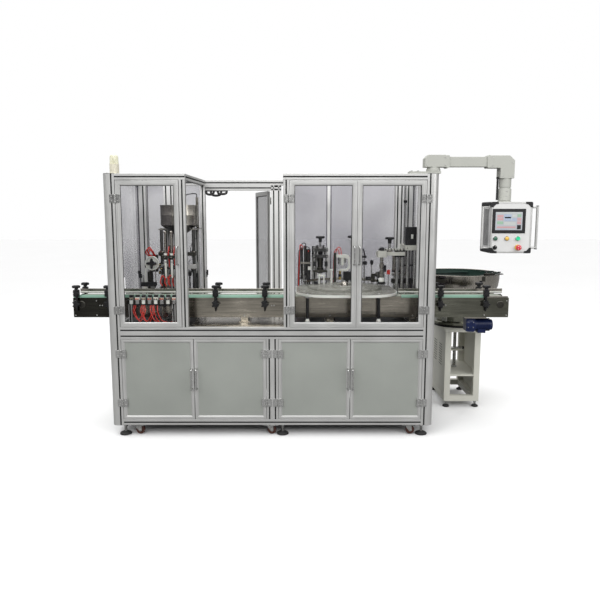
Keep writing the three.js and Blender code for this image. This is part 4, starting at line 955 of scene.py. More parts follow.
AIR_LOOPS = ((150, 60, 796, "red_hose"), (200, 70, 782, "red_hose"), (262, 56, 804, "black_hose"),
             (326, 66, 790, "black_hose"))
for i, (x, width, low, finish) in enumerate(AIR_LOOPS):
    loop_hose = Shape(finish)
    y = 112 + 4 * i
    for shift, drop in ((0, 0), (11, 12)):
        near, far = x + shift, x + shift + width
        path = [(near, y + 4, 895), (near - 2, y + 2, 880), (near - 6, y - 6, 850),
                (near + width / 2, y - 14, low - drop), (far + 6, y - 6, 850), (far + 2, y + 2, 880),
                (far, y + 4, 895)]
        loop_hose.tube(path, 2.8, sides=12)
    loop_hose.piece(f"air_hose_{i + 1}", replaces=["air_hoses"])
clips = Shape("black")
clips.box(140, 404, 118, 134, 892, 901.7)
for x in range(150, 400, 22):
    clips.rod("z", 6, 886, 893, x, 122, "black", 6)
clips.piece("hose_clips", bevel=0.6)
feed = Shape("red_hose")
for x, y, z in ((262, 120, 776), (286, 128, 774), (310, 122, 778)):
    feed.tube([(x, 112, 893), (x + 4, 100, 850), (x + 30, 98, z + 14), (x + 80, 104, z),
               (x + 130, 140, z - 4), (x + 150, 200, z - 4)], 3, sides=12)
feed.piece("air_feed_lines")
taps = Shape("red_hose")
for shift, rise in ((0, 0), (10, 10), (20, -8)):
    taps.tube([(182 + shift, 474, 1205), (164 + shift, 452, 1222 + rise), (166 + shift, 436, 1248 + rise),
               (186 + shift, 430, 1262 + rise), (206 + shift / 2, 440, 1240), (214 + shift / 2, 472, 1208)],
              4, sides=12)
for x, z in ((300, 1060), (330, 1052), (356, 1064)):
    taps.tube([(x, 330, 1004), (x - 10, 318, 1030), (x + 4, 312, z + 16), (x + 22, 316, z),
               (x + 20, 326, 1030), (x + 26, 336, 1000)], 4.2, sides=12)
taps.piece("stroke_air_lines")
signal = Shape("black_hose")
signal.tube([(470, 600, 1098), (446, 596, 1120), (452, 590, 1160), (490, 590, 1172), (512, 596, 1140),
             (508, 602, 1090), (500, 606, 1068)], 3, "pale_hose", 12)
signal.tube([(478, 600, 1110), (484, 596, 1160), (462, 600, 1230), (470, 620, 1290), (490, 700, 1330)], 3,
            sides=12)
signal.piece("signal_cables")

feeds = Shape("black_hose")
feeds.rods("z", (21.5, 1262, 1325.5, *HOP, "steel_z"), (27, 1312, 1325.6, *HOP, "bright"))
for x in CYLINDERS:
    side = 1 if x > HOP[0] else -1
    path = [(HOP[0] + side * 10, 640, 1270), (HOP[0] + side * 30, 636, 1200), (x, 606, 1060), (x, 596, 940),
            (x, 560, 886), (x, 530, 880), (x, 514, 880)]
    feeds.tube(path, 9, sides=16)
    for near, far in ((514, 524), (534, 541)):
        feeds.lathe("y", [(11, near), (11, far), (9, far)], x, 880, "bright")
feeds.piece("product_feed_hoses", replaces=["product_hoses"])

for number, out, port, nozzle in zip((1, 2), (-1, 1), CYLINDERS, NOZZLES):
    supply = Shape("black_hose")
    path = [(port, 400, 880), (port, 386, 880), (port + out * 6, 368, 910), (port + out * 10, 356, 980),
            (nozzle + out * 26, 330, 1070), (nozzle + out * 22, 300, 1130), (nozzle + out * 14, 276, 1150),
            (nozzle, NOZZLE_Y, 1150)]
    supply.tube(path, 5.5, sides=14)
    ends = (tuple(place(port + out * 10, 356, 960)), tuple(place(nozzle + out * 22, 300, 1130)))
    supply.piece(f"nozzle_hose_{number}", blend=("root", "nozzle_bar", *ends))

# Capping station
PRESS, CAP = (1447, 711), (1888, 429)
GUIDES = ((2006, 13), (2044, 12))
caps = Shape("steel_z")
caps.boxes(
    (1320, 1450, 770, 848, ON_DECK, 772, "steel_x"), (1449, 2112, 800, 848, ON_DECK, 772, "steel_x"),
    (1976, 2160, 420, 812, ON_DECK, 774, "steel_y"), (1326, 1372, 776, 824, 771, 1240, "gunmetal"),
    (2080, 2112, 730, 750, 1580, 1590, "zinc"))
caps.bar("z", 771, 1262, 1385, 1425, 806, 846)
# the mast is painted brighter: painted light
caps.bar("z", 773, 1735, 2023, 2083, 700, 780, "alu_lit")
caps.rods("z", (6.5, 773, 1735, 2101, 740, "bright", 20), (12, 773, 1262, 2136, 720, "bright", 32))
caps.lathe("z", [(8, 1596), (17, 1600), (17, 1616), (8, 1620)], 2101, 740, "black", 24)
for x, r in (*GUIDES, (2084, 12), (2136, 12)):
    caps.rod("z", r, 773, 1262, x, 470, "bright", 32)
    caps.lathe("z", [(18, 774), (18, 790), (17, 792), (r, 792)], x, 470, "black", 32)
for x, r in GUIDES:
    caps.rod("z", r - 4, 1262, 1268, x, 470, "zinc", 6)
caps.prism("z", rounded(2062, 2156, 450, 750, 6, 4), 1250, 1286, "pale_cast")
caps.screws("y", 450, (2076, 2142), (1262, 1274), -1, 4)
caps.piece("capping_station_frame", replaces=["capping_frame"], bevel=0.7)

servo = Shape("black")
servo.prism("z", rounded(2068, 2154, 462, 548, 6, 4), 1286.2, 1298)
servo.prism("z", rounded(2070, 2152, 464, 546, 8, 4), 1297, 1419)
for z in range(1304, 1412, 12):
    servo.prism("z", rounded(2068, 2154, 462, 548, 9, 4), z, z + 6)
servo.box(2104, 2120, 460, 463, 1334, 1366, "white")
servo.rod("x", 8, 2146, 2160, 520, 1400, "black")
servo.tube([(2158, 520, 1400), (2164, 540, 1390), (2160, 580, 1340), (2160, 600, 1240), (2158, 600, 1000),
            (2156, 600, 780)], 4.5, "black_hose")
servo.piece("capping_servo", bevel=0.7)

actuators = Shape("steel_z")
ACTUATORS = ((2012, 612, 20, 1080, 1225), (2060, 600, 16, 1080, 1240), (2104, 610, 12, 1060, 1249))
for x, y, r, low, high in ACTUATORS:
    actuators.rods("z",
        (r, low, high, x, y, "steel_z", 32), (r + 3, low - 4, low + 12, x, y, "black", 32),
        (r + 3, high - 14, high, x, y, "black", 32), (r * 0.4, 774, low, x, y, "bright"))
actuators.boxes((1990, 2124, 590, 632, 1050, 1062, "steel_x"), (2030, 2130, 500, 516, 1130, 1142, "black"))
for x in (2056, 2116):
    actuators.box(x - 5, x + 5, 500, 512, 860, 1040, "gunmetal")
for z in (862, 1030):
    actuators.box(2050, 2122, 500, 512, z, z + 10, "gunmetal")
actuators.piece("capping_actuators", bevel=0.6)

press = Shape("alu_x")
press.boxes(
    (1384, 1426, 760, 805.5, 1180, 1262, "black"), (1400, 1494, 721, 768, 1199, 1229, "black"),
    (1392, 1502, 675, 731, 1066, 1084, "dark_steel"))
for low, high in ((1228, 1250), (1180, 1200)):
    press.box(1388, 1506, 671, 770, low, high, "gunmetal")
for x in (1402, 1492):
    press.rods("z", (8, 1083, 1229, x, 691, "bright"), (11, 1249, 1262, x, 691, "zinc", 6))
    press.box(x - 12, x + 12, 677, 705, 1112, 1150, "black")
for x in (1424, 1470):
    press.rod("z", 9, 1200, 1228, x, 689, "bright")
    press.box(x - 8, x + 8, 673, 691, 1249, 1276, "gunmetal")
ram = [(24, 1060), (26, 1064), (26, 1100), (22, 1104), (22, 1150), (25, 1154), (25, 1180)]
press.lathe("z", ram, *PRESS, "dark_steel", 40)
press.lathe("z", [(8, 1026), (12, 1028), (12, 1060)], *PRESS, "white")
press.rods("z",
    (8, 1249, 1330, *PRESS, "bright"), (14, 1249, 1262, *PRESS, "zinc", 6),
    (13, 1298, 1328, *PRESS, "black"))
press.lobed("z", 34, 1326, 1344, *PRESS, 6, 0.14)
press.screws("y", 671, (1396, 1498), (1190, 1239), -1, 5)
press.moving("press_unit", "press_head", bevel=0.8)

head = Shape("pale_cast")
head.boxes(
    (1854, 2060, 440, 500, 1212, 1238), (1866, 1936, 452, 470, 1237, 1262, "gunmetal"),
    (1872, 2056, 462, 474, 1250, 1262, "black"))
head.prism("z", rounded(1854, 1922, 395, 463, 8, 4), 1202, 1248)
for x in range(1884, 2056, 22):
    head.rods("y", (8, 450, 463, x, 1256), (4, 446, 451, x, 1256, "zinc", 6))
head.rods("z",
    (10, 1237, 1332, 1950, 476, "bright"), (22, 1238, 1250, 1950, 476, "steel_z", 32),
    (14, 1300, 1330, 1950, 476, "black"))
head.lobed("z", 34, 1328, 1346, 1950, 476, 6, 0.14)
for x, r in GUIDES:
    head.collar("z", r + 7, r + 0.5, 1200, 1250, x, 470, "black")
head.moving("capping_carriage", "capping_head", bevel=0.8)

spindle = Shape("white")
spindle.lathe("z", [(20, 1004), (26, 1004), (28, 1007), (28, 1018), (22, 1022)], *CAP, "black", 40)
spindle.lathe("z", [(20, 1021.5), (20, 1044), (16, 1050), (12, 1052)], *CAP, sides=40)
column = [(12, 1051.5), (12, 1088), (15, 1090), (15, 1102), (12, 1104), (12, 1120), (17, 1124), (17, 1156),
          (12, 1160), (12, 1201)]
spindle.lathe("z", column, *CAP, "steel_z", 40)
spindle.lathe("z", [(12, 1248), (17, 1249), (17, 1268), (14, 1272)], *CAP, "black", 40)
for spot in around(14, 27.5, *CAP):
    spindle.rod("z", 2, 1006, 1018, *spot, "black", 8)
for z in (1070, 1112, 1166, 1186):
    spindle.lathe("z", [(12, z), (14, z + 1), (14, z + 4), (12, z + 5)], *CAP, "zinc", 32)
spindle.rod("z", 11.9, 1200, 1249, *CAP, "bright")
spindle.moving("capping_chuck", "capping_spindle")

# Fixed tooling round the dial: the plug station's bracket, bottle guides, stops and pointers
tooling = Shape("white")
bracket = [(1575, 1196), (1575, 1176), *arc(1646, 1146, 24, 90, 0, 6), *arc(1646, 1110, 26, 0, -90, 6),
           (1601, 1084), (1589, 1072), *arc(1648, 1102, 36, -90, 0, 6), *arc(1653, 1166, 30, 0, 90, 6)]
tooling.prism("y", bracket, 770, 800)
for x, low, high, r in ((1600, 1120, 1176, 9), (1626, 1110, 1176, 12), (1646, 1130, 1176, 6)):
    tooling.rod("z", r, low, high, x, 785, "white" if r > 10 else "zinc")
tooling.rods("z",
    (9, 1040, 1084, 1606, 785, "brass"), (13, 1022, 1042, 1606, 785, "black"),
    (10, 998, 1024, 1606, 785, "brass"), (8, 772.3, 1330, 1700, 812, "dark_steel"),
    (8, DIAL_TOP, 1084, 1533, 700), (5, DIAL_TOP, 1176, 1793, 745, "bright"),
    (4, DIAL_TOP, 1140, 1846, 700, "bright"), (5, DIAL_TOP, 1032, 1888, 680, "bright"))
tooling.boxes(
    (1556, 1576, 786, 806, DECK + 13, 1210, "dark_steel"), (1632, 1694, 776, 798, 992, 1062, "black"),
    (1652, 1672, 779, 797, DECK + 13, 993, "dark_steel"), (1428, 1484, 632, 648, 1040, 1052),
    (1519, 1547, 690, 710, 1078, 1090), (1396, 1426, 604, 626, DIAL_TOP, 1002, "black"),
    (1778, 1810, 736, 754, 1174, 1190, "black"), (1780, 1812, 734, 756, 1120, 1146, "black"))
tooling.lobed("z", 34, 1326, 1344, 1700, 812, 6, 0.14)
for x in (1438, 1474):
    tooling.rod("z", 5.5, DIAL_TOP, 1046, x, 640, "white")
tooling.prism("y", [(1790, 1190), (1800, 1190), (1790, 1245), (1780, 1245)], 738, 752, "black")
bulb = [(4, 1122), (10, 1128), (13, 1140), (13, 1150), (10, 1158), (3, 1161)]
tooling.lathe("z", bulb, 1846, 700, "black", 24)
tooling.lathe("z", [(8, 1030), (16, 1036), (16, 1060), (10, 1068), (2, 1070)], 1888, 680, "dark_steel", 24)
BLOCKS = ((1816, 650, 22, 1010, 1036, "black"), (1850, 640, 16, 996, 1060, "dark_steel"),
          (1908, 620, 26, 1030, 1078, "gunmetal"), (1930, 600, 14, 1078, 1128, "black"),
          (1962, 600, 12, 1060, 1092, "red_hose"))
for x, y, w, low, high, finish in BLOCKS:
    tooling.box(x - w, x + w, y - 10, y + 10, low, high, finish)
    tooling.rod("z", 4, DIAL_TOP, low + 1, x, y, "bright")
rail = zip(arc(*DIAL, 296, 14, 166, 40), arc(*DIAL, 299.552, 14, 166, 40))
tooling.rings([[(*p, 996), (*p, 1014), (*q, 1014), (*q, 996)] for p, q in rail], "steel_x")
for x, y in arc(*DIAL, 303, 20, 160, 4):
    tooling.rod("z", 5, DIAL_TOP, 1016, x, min(y, 792), "zinc")
tooling.piece("dial_tooling", bevel=0.6)

# Air cylinders and valves left of the press
pneumatics = Shape("gunmetal")
for x, y, low, high in ((1304, 770, 1020, 1236), (1330, 762, 1050, 1250), (1356, 752, 1010, 1220)):
    pneumatics.rod("z", 10, low, high, x, y, "gunmetal")
    for end in (high + 6, low - 6):
        pneumatics.box(x - 12, x + 12, y - 12, y + 12, end - 10, end + 10, "black")
    pneumatics.rod("z", 3.5, low - 60, low, x, y, "bright")
    pneumatics.rod("y", 4.5, y - 24, y - 10, x, high + 6, "red_hose")
pneumatics.boxes(
    (1290, 1372, 740, 777, 1126, 1140, "steel_x"), (1352, 1378, 720, 742, 1080, 1106, "white"),
    (1292, 1372, 742, 777, DECK + 13, 800, "black"))
pneumatics.rod("z", 6, 800, 1126, 1318, 752, "bright")
pneumatics.piece("press_pneumatics", bevel=0.6)

lines = Shape("red_hose")
for x, z, reach in ((1304, 1242, 1284), (1330, 1256, 1290), (1356, 1226, 1278)):
    path = [(x, 744, z), (x + 6, 728, z + 22), (x - 12, 724, z + 34), (reach + 4, 728, z + 4),
            (reach, 732, 1160), (reach - 4, 736, 1020), (reach - 6, 742, 900), (reach, 760, 780)]
    lines.tube(path, 3, "red_hose" if x < 1320 else "black_hose", 12)
for x, z in ((1600, 1226), (1616, 1240)):
    lines.tube([(x, 785, 1196), (x - 6, 784, z), (x - 24, 788, z + 14), (x - 40, 800, z - 20),
                (x - 44, 812, 1120), (x - 42, 822, 900), (x - 40, 824, 776)], 3, sides=12)
lines.piece("press_air_lines")

# Cables under the bay's rear beam, and the latch on the rear left post
droop = Shape("rubber")
for x0, x1, sag in ((548, 610, 26), (586, 668, 34), (640, 712, 22)):
    middle = (x0 + x1) / 2
    droop.tube([(x0, 870, 1697), (x0 + 6, 866, 1690 - sag * 0.7), (middle, 862, 1690 - sag),
                (x1 - 6, 866, 1690 - sag * 0.7), (x1, 870, 1697)], 9, sides=12)
droop.box(544, 716, 862, 878, 1688, 1696)
droop.piece("beam_cables")
latch = Shape("black")
latch.box(540.2, 552, 852, 876, 1026, 1068)
latch.prism("y", rounded(542, 550, 1012, 1056, 4, 4), 836, 844)
latch.rod("y", 7, 838, 853, 546, 1047)
latch.piece("door_latch", bevel=0.8)

# Operator arm
ARM_Y, PEND_X = 50, 2640
arm = Shape("casting")
arm.lathe("z", [(46, ARM_PLATE + GAP), (46, TOP + 30), (42, TOP + 32), (42, 1822)], 2165, ARM_Y, sides=48)
elbow = [(2102, 1818), (2246, 1818), (2246, 1888), (2236, 1896), (2122, 1896), (2102, 1874)]
arm.prism("y", elbow, ARM_Y - 42, ARM_Y + 42)
arm.prism("y", rounded(2240, 2262, 1812, 1894, 8, 3), ARM_Y - 41, ARM_Y + 41)
arm.box(2256, 2516, ARM_Y - 32, ARM_Y + 32, 1820, 1884)
arm.prism("y", rounded(2508, 2532, 1812, 1894, 8, 3), ARM_Y - 41, ARM_Y + 41)
bend = [(2528, 1812), (2594, 1812), (2594, 1746), (2686, 1746), (2686, 1860), (2652, 1892), (2528, 1892)]
arm.prism("y", bend, ARM_Y - 42, ARM_Y + 42)
arm.moving("arm_castings", "arm", bevel=5)
neck = Shape("casting")
for profile in ([(39, 1690), (39, 1746), (36, 1748)], [(36, 1602.6), (36, 1694)],
                [(42, 1604), (42, 1676), (40, 1680), (37, 1680)]):
    neck.lathe("z", profile, PEND_X, ARM_Y, sides=48)
for way in (-1, 1):
    neck.screws("y", ARM_Y + 41 * way, [PEND_X], (1630, 1664), way, 4)
neck.piece("arm_neck", "arm")
conduit = Shape("rubber")
ridges = []
for k in range(34):
    z = 1606 + k * 4.2
    ridges += [(6, z), (7.6, z + 1), (7.6, z + 2.4), (6, z + 3.4)]
conduit.lathe("z", ridges, PEND_X - 52, ARM_Y - 8, sides=20)
conduit.rod("z", 10, 1744, 1756, PEND_X - 52, ARM_Y - 8, "black", 6)
conduit.piece("arm_conduit", "arm")
bolts = Shape("zinc")  # on both faces of the two elbows
for x, z in ((2116, 1832), (2232, 1832), (2232, 1878), (2542, 1826), (2542, 1878), (2672, 1760), (2608, 1760),
             (2672, 1846)):
    for way in (-1, 1):
        bolts.screw("y", ARM_Y + 42 * way, x, z, way, 3.5)
bolts.piece("arm_bolts", "arm")

# Pendant
PX0, PX1, PY0, PY1, PZ0, PZ1 = 2524, 2792, -60, 160, 1262, 1594
pend = Shape("pendant_grey")
pend.prism("y", rounded(PX0 + 2, PX1 - 2, PZ0 + 2, PZ1 - 2, 8, 4), PY0 + 2, PY1)
front_rim = [(0, PY0 + 16), (0, PY0 + 3), (3, PY0), (11, PY0), (12, PY0 + 4), (12, PY0 + 16)]
rear_rim = [(0, PY1 - 16), (0, PY1 - 2), (2, PY1), (12, PY1), (12, PY1 - 16)]
for section in (front_rim, rear_rim):
    pend.border(PX0 + 1, PX1 - 1, PZ0 + 1, PZ1 - 1, section)
for dx, x in ((1, PX0), (-1, PX1)):  # black corners, and guards along the edges between them
    for dz, z in ((1, PZ0), (-1, PZ1)):
        corner = ((0, 8), (2.4, 2.4), (8, 0), (46, 0), (46, 14), (30, 16), (16, 30), (14, 36), (0, 36))
        for y0, y1 in ((PY0 - 1, PY0 + 26), (PY1 - 26, PY1 + 1)):
            pend.prism("y", [(x + dx * u, z + dz * v) for u, v in corner], y0, y1, "black")
        guard = ((0, 6), (2, 2), (6, 0), (28, 0), (28, 3), (3, 28), (0, 28))
        pend.prism("y", [(x + dx * u, z + dz * v) for u, v in guard], PY0 + 26, PY1 - 26, "black")
# the louvres are dark strips on the sides: painted shade in their openings
for z in range(PZ0 + 50, PZ1 - 50, 7):  # louvres in both sides
    for x in (PX0 + 1.4, PX1 - 2.4):
        pend.box(x, x + 1, PY0 + 50, PY1 - 60, z, z + 3.6, "slot_black")
pend.lathe("z", [(44, PZ1 - 3), (44, PZ1 + 6), (42, PZ1 + 8)], PEND_X, ARM_Y, "casting", 48)
for rail_x in (2480, 2836):
    inner = PX0 + 2 if rail_x < PX0 else PX1 - 2
    for z in (1297, 1559):
        pend.rod("x", 6.5, *sorted((rail_x, inner)), -22, z, "alu_x")
        pend.rod("x", 10, *sorted((inner, inner + (4 if rail_x > PX1 else -4))), -22, z, "alu_x")
    outline = rounded(rail_x - 7, rail_x + 7, -31, -13, 5, 4)
    pend.prism("z", outline, 1290, 1566, "alu_z")
    for low in (1286, 1565):
        pend.prism("z", rounded(rail_x - 7.5, rail_x + 7.5, -31.5, -12.5, 5, 4), low, low + 5, "black")
pend.moving("pendant_case", "pendant", bevel=0.8)

panel = Shape("black")
bezel = [(0, PY0 + 3), (0, PY0 - 1.5), (1.5, PY0 - 3), (18, PY0 - 3), (21, PY0 - 0.6), (21, PY0 + 3)]
panel.border(2533, 2748, 1392, 1549, bezel, "black")
panel.box(2553, 2728, PY0 - 1, PY0 + 2.5, 1412, 1529, "display")
FIELDS = ((2550, 2731, 1524, 1533, "field_pale"), (2556, 2600, 1496, 1514, "field_red"),
          (2556, 2600, 1476, 1492, "field_red"), (2606, 2658, 1470, 1518, "field_blue"),
          (2610, 2654, 1490, 1500, "field_pale"), (2664, 2696, 1496, 1518, "field_pale"),
          (2664, 2696, 1470, 1492, "field_blue"), (2556, 2600, 1448, 1468, "field_green"),
          (2606, 2690, 1440, 1464, "field_pale"), (2700, 2728, 1500, 1519, "field_green"),
          (2700, 2728, 1474, 1494, "field_red"), (2700, 2728, 1448, 1468, "field_red"),
          (2700, 2728, 1412, 1442, "black"), (2556, 2690, 1420, 1432, "field_red"),
          (2556, 2640, 1410, 1415, "field_blue"))
MIDDLE, SHRINK = (2640, 2640, 1471, 1471), 0.9  # the fields lie a little closer together than listed
for *edges, finish in FIELDS:
    x0, x1, z0, z1 = (m + (edge - m) * SHRINK for edge, m in zip(edges, MIDDLE))
    panel.box(x0, x1, PY0 - 1.5, PY0, z0, z1, finish)
panel.piece("pendant_screen", "pendant", bevel=0.25)

FACE = PY0 - 0.3
READY, WAITING, START, STOP, TURN = (2557.5, 1358), (2632, 1358), (2703, 1358), (2705, 1300), (2556, 1300)
rims = Shape("bright")
rim = [(15.5, PY0 + 2.5), (15.5, PY0 - 1.5), (14, PY0 - 3.4), (13.3, PY0 - 3.4), (13.3, PY0 + 2.5)]
for spot in (READY, WAITING, START, TURN):
    rims.lathe("y", rim, *spot, sides=40, closed=True)
rim = [(9.6, PY0 + 2), (19, PY0 + 2), (19, PY0 - 3), (17, PY0 - 5), (9.6, PY0 - 5)]
rims.lathe("y", rim, *STOP, "amber", 40, closed=True)
rims.piece("control_rims", "pendant")
for name, spot, finish in (("ready", READY, "dark_green"), ("waiting", WAITING, "amber")):
    lamp = Shape(finish)
    dome = [(13, PY0 + 2), (13, PY0 - 8), (11.5, PY0 - 12), (8, PY0 - 14.5), (3, PY0 - 15.5)]
    lamp.lathe("y", dome, *spot, sides=36)
    lamp.piece(f"lamp_{name}", "pendant")
button = Shape("green_button")
cap = [(13, FACE - 4), (13, FACE - 12), (12, FACE - 14), (9, FACE - 14), (8, FACE - 13), (1, FACE - 12.6)]
button.lathe("y", cap, *START, sides=40)
button.moving("start_cap", "start_button")
stop = Shape("red_button")
mushroom = [(9, FACE - 6), (9, FACE - 16), (16.5, FACE - 17), (18, FACE - 19), (18, FACE - 24),
            (16, FACE - 28), (10, FACE - 29.6), (2, FACE - 30)]
stop.lathe("y", mushroom, *STOP, sides=44)
for spot in around(3, 9, *STOP):  # turn-to-release ribs
    stop.lathe("y", [(2.2, FACE - 29), (2.2, FACE - 30.4), (1, FACE - 30.8)], *spot, "white", 12)
stop.moving("stop_mushroom", "e_stop")
turn = Shape("black")
x, z = TURN
turn.lathe("y", [(12.8, FACE), (12.8, FACE - 8), (11.5, FACE - 10), (3, FACE - 10)], x, z, sides=40)
turn.prism("y", rounded(x - 4.5, x + 4.5, z - 12, z + 12, 4, 4), FACE - 22, FACE - 9)
turn.box(x - 0.8, x + 0.8, FACE - 22.4, FACE - 21, z + 3, z + 11, "white")
turn.moving("selector_knob", "selector", bevel=0.7)

# Cap feeder: stand, vibrating drive and bowl
SX0, SX1, SY0, SY1, S_TOP, LEG = 2425, 2700, 640, 1160, 620, 46
BOWL = (2560, 900)
stand = Shape("stand_paint")
stand.prism("z", rounded(SX0 - 10, SX1 + 10, SY0 - 10, SY1 + 10, 8, 4), S_TOP - 16, S_TOP)
for x in (SX0, SX1 - LEG):
    stand.box(x, x + LEG, SY0 + LEG, SY1 - LEG, 48, 92)
    for y in (SY0, SY1 - LEG):
        stand.box(x, x + LEG, y, y + LEG, 90, S_TOP - 16)
        centre = (x + LEG / 2, y + LEG / 2)
        stand.lathe("z", [(24, 0), (26, 2), (26, 9), (22, 13), (12, 18), (9, 22)], *centre, "rubber")
        stand.rods("z", (8, 18, 50, *centre, "zinc"), (13, 36, 45, *centre, "zinc", 6))
for y in (SY0, SY1 - LEG):
    stand.box(SX0, SX1, y, y + LEG, 48, 92)
stand.boxes((SX0 + 4, SX1 - 4, SY0 + 4, SY1 - 4, 250, 262), (2500, 2624, 888, 912, 400, 416))
stand.piece("feeder_stand_frame", replaces=["feeder_stand"], bevel=1.5)
skins = Shape("stand_paint")
for x in (SX0 + 1.4, SX1 - 3.4):
    skins.box(x, x + 2, SY0 + LEG - 2, SY1 - LEG + 2, 90, S_TOP - 16)
    lip, gap = ((x - 2.2, x + 1), (x - 2.6, x - 2)) if x < 2500 else ((x + 1, x + 4.2), (x + 4, x + 4.6))
    # under each louvre's lip a dark strip: painted shade in its opening
    for z in range(320, 500, 20):  # louvres
        for y in (SY0 + 110, SY0 + 290):
            skins.boxes((*lip, y, y + 100, z, z + 6), (*gap, y + 2, y + 98, z - 5, z, "slot_black"))
skins.piece("feeder_stand_skins", bevel=0.6)
jack = Shape("bright")
ridge = ((11, 0), (13.4, 0.8), (13.4, 1.2), (11, 2))
thread = [(r, 262.4 + k * 3 + dz) for k in range(110) for r, dz in ridge]
jack.lathe("z", thread, 2562, 900, sides=24)
for low, high in ((592, 604), (262.2, 274)):
    jack.rod("z", 24, low, high, 2562, 900, "zinc", 6)
jack.rod("x", 8, 2490, 2634, 900, 424, "bright")
for x in (2490, 2626):
    jack.rod("x", 12, x, x + 12, 900, 424, "black")
jack.piece("feeder_jack_screw")

drive = Shape("zinc")
drive.lathe("z", [(178, S_TOP + GAP), (180, S_TOP + 2), (180, 634), (178, 636)], *BOWL, "black", 72)
drive.lathe("z", [(176, 635.5), (180, 638), (180, 656), (176, 660)], *BOWL, "plate_dull", 72)
drum = [(150, 659), (150, 706), (147, 708), (147, 712), (150, 714), (150, 770)]
drive.lathe("z", drum, *BOWL, "plate_dull", 72)
drive.lathe("z", [(172, 769), (176, 773), (176, 797), (172, 800.3)], *BOWL, sides=72)
FIRST_SPRING = 3.9  # radians
for k, spot in enumerate(around(3, 158, *BOWL, FIRST_SPRING)):
    start = len(drive.points)
    drive.box(-22, 22, -5, 5, 664, 766, "casting")
    drive.screws("y", -5, (-12, 12), (676, 754), -1, 5)
    facing = Matrix.Rotation(FIRST_SPRING + 2 * math.pi * k / 3 + math.pi / 2, 4, "Z")
    drive.move(Matrix.Translation((*spot, 0)) @ facing, start)
drive.piece("vibrating_drive", replaces=["bowl_drive"])

bowl = Shape("steel_z")
shell = [(1, 800.6), (200, 800.6), (206, 806), (306, 900), (316, 936), (318, 938), (318, 944), (322, 948),
         (330, 1006), (330, 1040), (333, 1042), (333, 1046), (330, 1048), (325, 1046)]
bowl.lathe("z", shell + [(325, 1044.5), (324, 1044)], *BOWL, sides=96)
del bowl.faces[-1], bowl.finishes[-1]  # the shell's top and the lining's rim stay open, and meet
lining = [(324, 1044), (325, 1008), (301, 904), (197, 808.6), (60, 809), (20, 818), (1, 820)]
bowl.lathe("z", lining, *BOWL, "bowl_green", 96)
del bowl.faces[-2], bowl.finishes[-2]
bowl.piece("feeder_bowl_shell", replaces=["feeder_bowl"])
ramp = Shape("bowl_green")
sections = []
RAMP_STEPS, RAMP_TURNS = 200, 2.25
for i in range(RAMP_STEPS + 1):
    t = i / RAMP_STEPS
    z = 822 + t * (1026 - 822)
    wall_r = 197 + (z - 808) * (104 / 95) if z < 904 else 301 + (z - 904) * (24 / 104)
    wall_r = min(wall_r, 325) - 1
    a = -2 * math.pi * RAMP_TURNS * t + 2.6
    c, s = math.cos(a), math.sin(a)
    sections.append([(BOWL[0] + r * c, BOWL[1] + r * s, z + dz)
                     for r, dz in ((wall_r, 0), (wall_r - 30, -3), (wall_r - 30, -6), (wall_r, -4))])
ramp.rings(sections)
ramp.piece("feeder_ramp")
track = Shape("dark_steel")
channel = [(590, 990), (640, 990), (640, 1022), (637, 1022), (637, 995), (593, 995), (593, 1022), (590, 1022)]
track.prism("x", channel, 1990, 2330)
for y in (604, 626):
    track.rod("x", 2.5, 1992, 2328, y, 1016, "bright")
for x in (2040, 2180, 2300):
    track.box(x, x + 12, 588, 642, 1022, 1026)
    for y in (604, 626):
        track.rod("z", 2.4, 1014, 1024, x + 6, y, "bright")
exit_points = ((2330, 0), (2366, 4.8), (2400, 17.6), (2424, 35.2))
track.rings([[(x, y + aside, z) for y, z in channel] for x, aside in exit_points])
track.piece("cap_track", bevel=0.4)
gate = Shape("dark_steel")
gate.prism("z", [(2660, 618), (2700, 590), (2872, 700), (2884, 760), (2858, 772), (2828, 724)], 1046.4, 1050)
gate.prism("z", [(2700, 602), (2790, 646), (2784, 660), (2694, 620)], 1050, 1064)
for x, y, z in ((2716, 622, 1064), (2766, 646, 1064), (2846, 724, 1050)):
    gate.rod("z", 4, z - 2, z + 12, x, y, "bright")
    gate.lobed("z", 13, z + 8, z + 17, x, y, 5, 0.2)
gate.boxes((2600, 2700, 590, 598, 1004, 1040), (2640, 2676, 584, 600, 984, 1010, "black"))
gate.piece("bowl_gate", bevel=0.5)

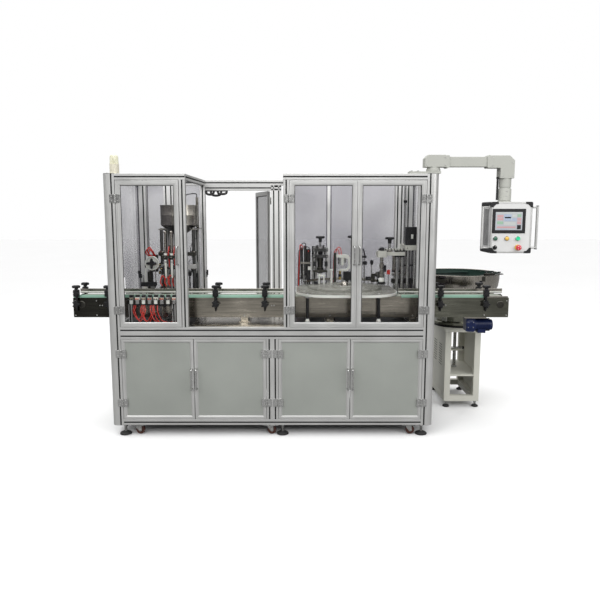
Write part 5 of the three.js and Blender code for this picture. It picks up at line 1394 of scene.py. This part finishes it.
# Light and floor
HALF_FLOOR, FLOOR_Z = 30, ORIGIN.z - 0.0005  # metres
floor_mesh = bpy.data.meshes.new("floor")
ways = ((-1, -1), (1, -1), (1, 1), (-1, 1))
floor_mesh.from_pydata([(HALF_FLOOR * x, HALF_FLOOR * y, FLOOR_Z) for x, y in ways], [], [(0, 1, 2, 3)])
floor = bpy.data.objects.new("floor", floor_mesh)
material("floor_paint", "aluminium", (0.86, 0.86, 0.86), 0.75, vary=0.01, patch=0.6, grain=30, bump=0.03)
floor_mesh.materials.append(MATERIALS["floor_paint"])
bpy.context.collection.objects.link(floor)
paint = MATERIALS["floor_paint"].node_tree  # pale to the camera, darker to reflections and bounced light
paint_shader = paint.nodes["Principled BSDF"]
pale = paint_shader.inputs["Base Color"].links[0].from_socket
direct = node(paint, "ShaderNodeLightPath").outputs["Is Camera Ray"]
paint.links.new(mixed(paint, direct, (0.24, 0.24, 0.24, 1), pale), paint_shader.inputs["Base Color"])

world = bpy.data.worlds.new("studio")  # even to the camera, streaked and brighter upwards to all else
world.use_nodes = True
bpy.context.scene.world = world
sky = world.node_tree
up = node(sky, "ShaderNodeTexCoord").outputs["Generated"]
height = node(sky, "ShaderNodeSeparateXYZ", {"Vector": up}).outputs["Z"]
streaks = node(sky, "ShaderNodeTexNoise", {"Vector": up, "Scale": 2.3, "Detail": 2.0}).outputs["Fac"]
brightness = {0: spread(sky, height, 0.30, 1.25, 0.12, 0.55), 1: spread(sky, streaks, 0.55, 1.35, 0.4, 0.6)}
room = node(sky, "ShaderNodeMath", brightness, operation="MULTIPLY").outputs[0]
seen = node(sky, "ShaderNodeLightPath").outputs["Is Camera Ray"]
shade = node(sky, "ShaderNodeMix", {0: seen, 2: room, 3: 1.0}).outputs[0]
sky.links.new(shade, sky.nodes["Background"].inputs["Strength"])
sky.nodes["Background"].inputs["Color"].default_value = (1, 1, 1, 1)


def softbox(name, position, target, size, power):
    light = bpy.data.lights.new(name, "AREA")
    light.shape, light.size, light.size_y, light.energy = "RECTANGLE", *size, power
    lamp = bpy.data.objects.new(name, light)
    lamp.location = place(*position)
    aim = place(*target) - lamp.location
    lamp.rotation_euler = aim.to_track_quat("-Z", "Y").to_euler()
    bpy.context.collection.objects.link(lamp)


softbox("key", (-1600, -3600, 4200), (1000, 300, 900), (2.4, 2.4), 85)
softbox("fill", (4600, -3000, 2600), (1500, 300, 900), (2.4, 2.0), 55)
softbox("front", (1290, -5200, 3100), (1290, 400, 1100), (3.6, 1.0), 85)
softbox("top", (1200, 600, 4600), (1200, 450, 700), (3.4, 2.2), 60)
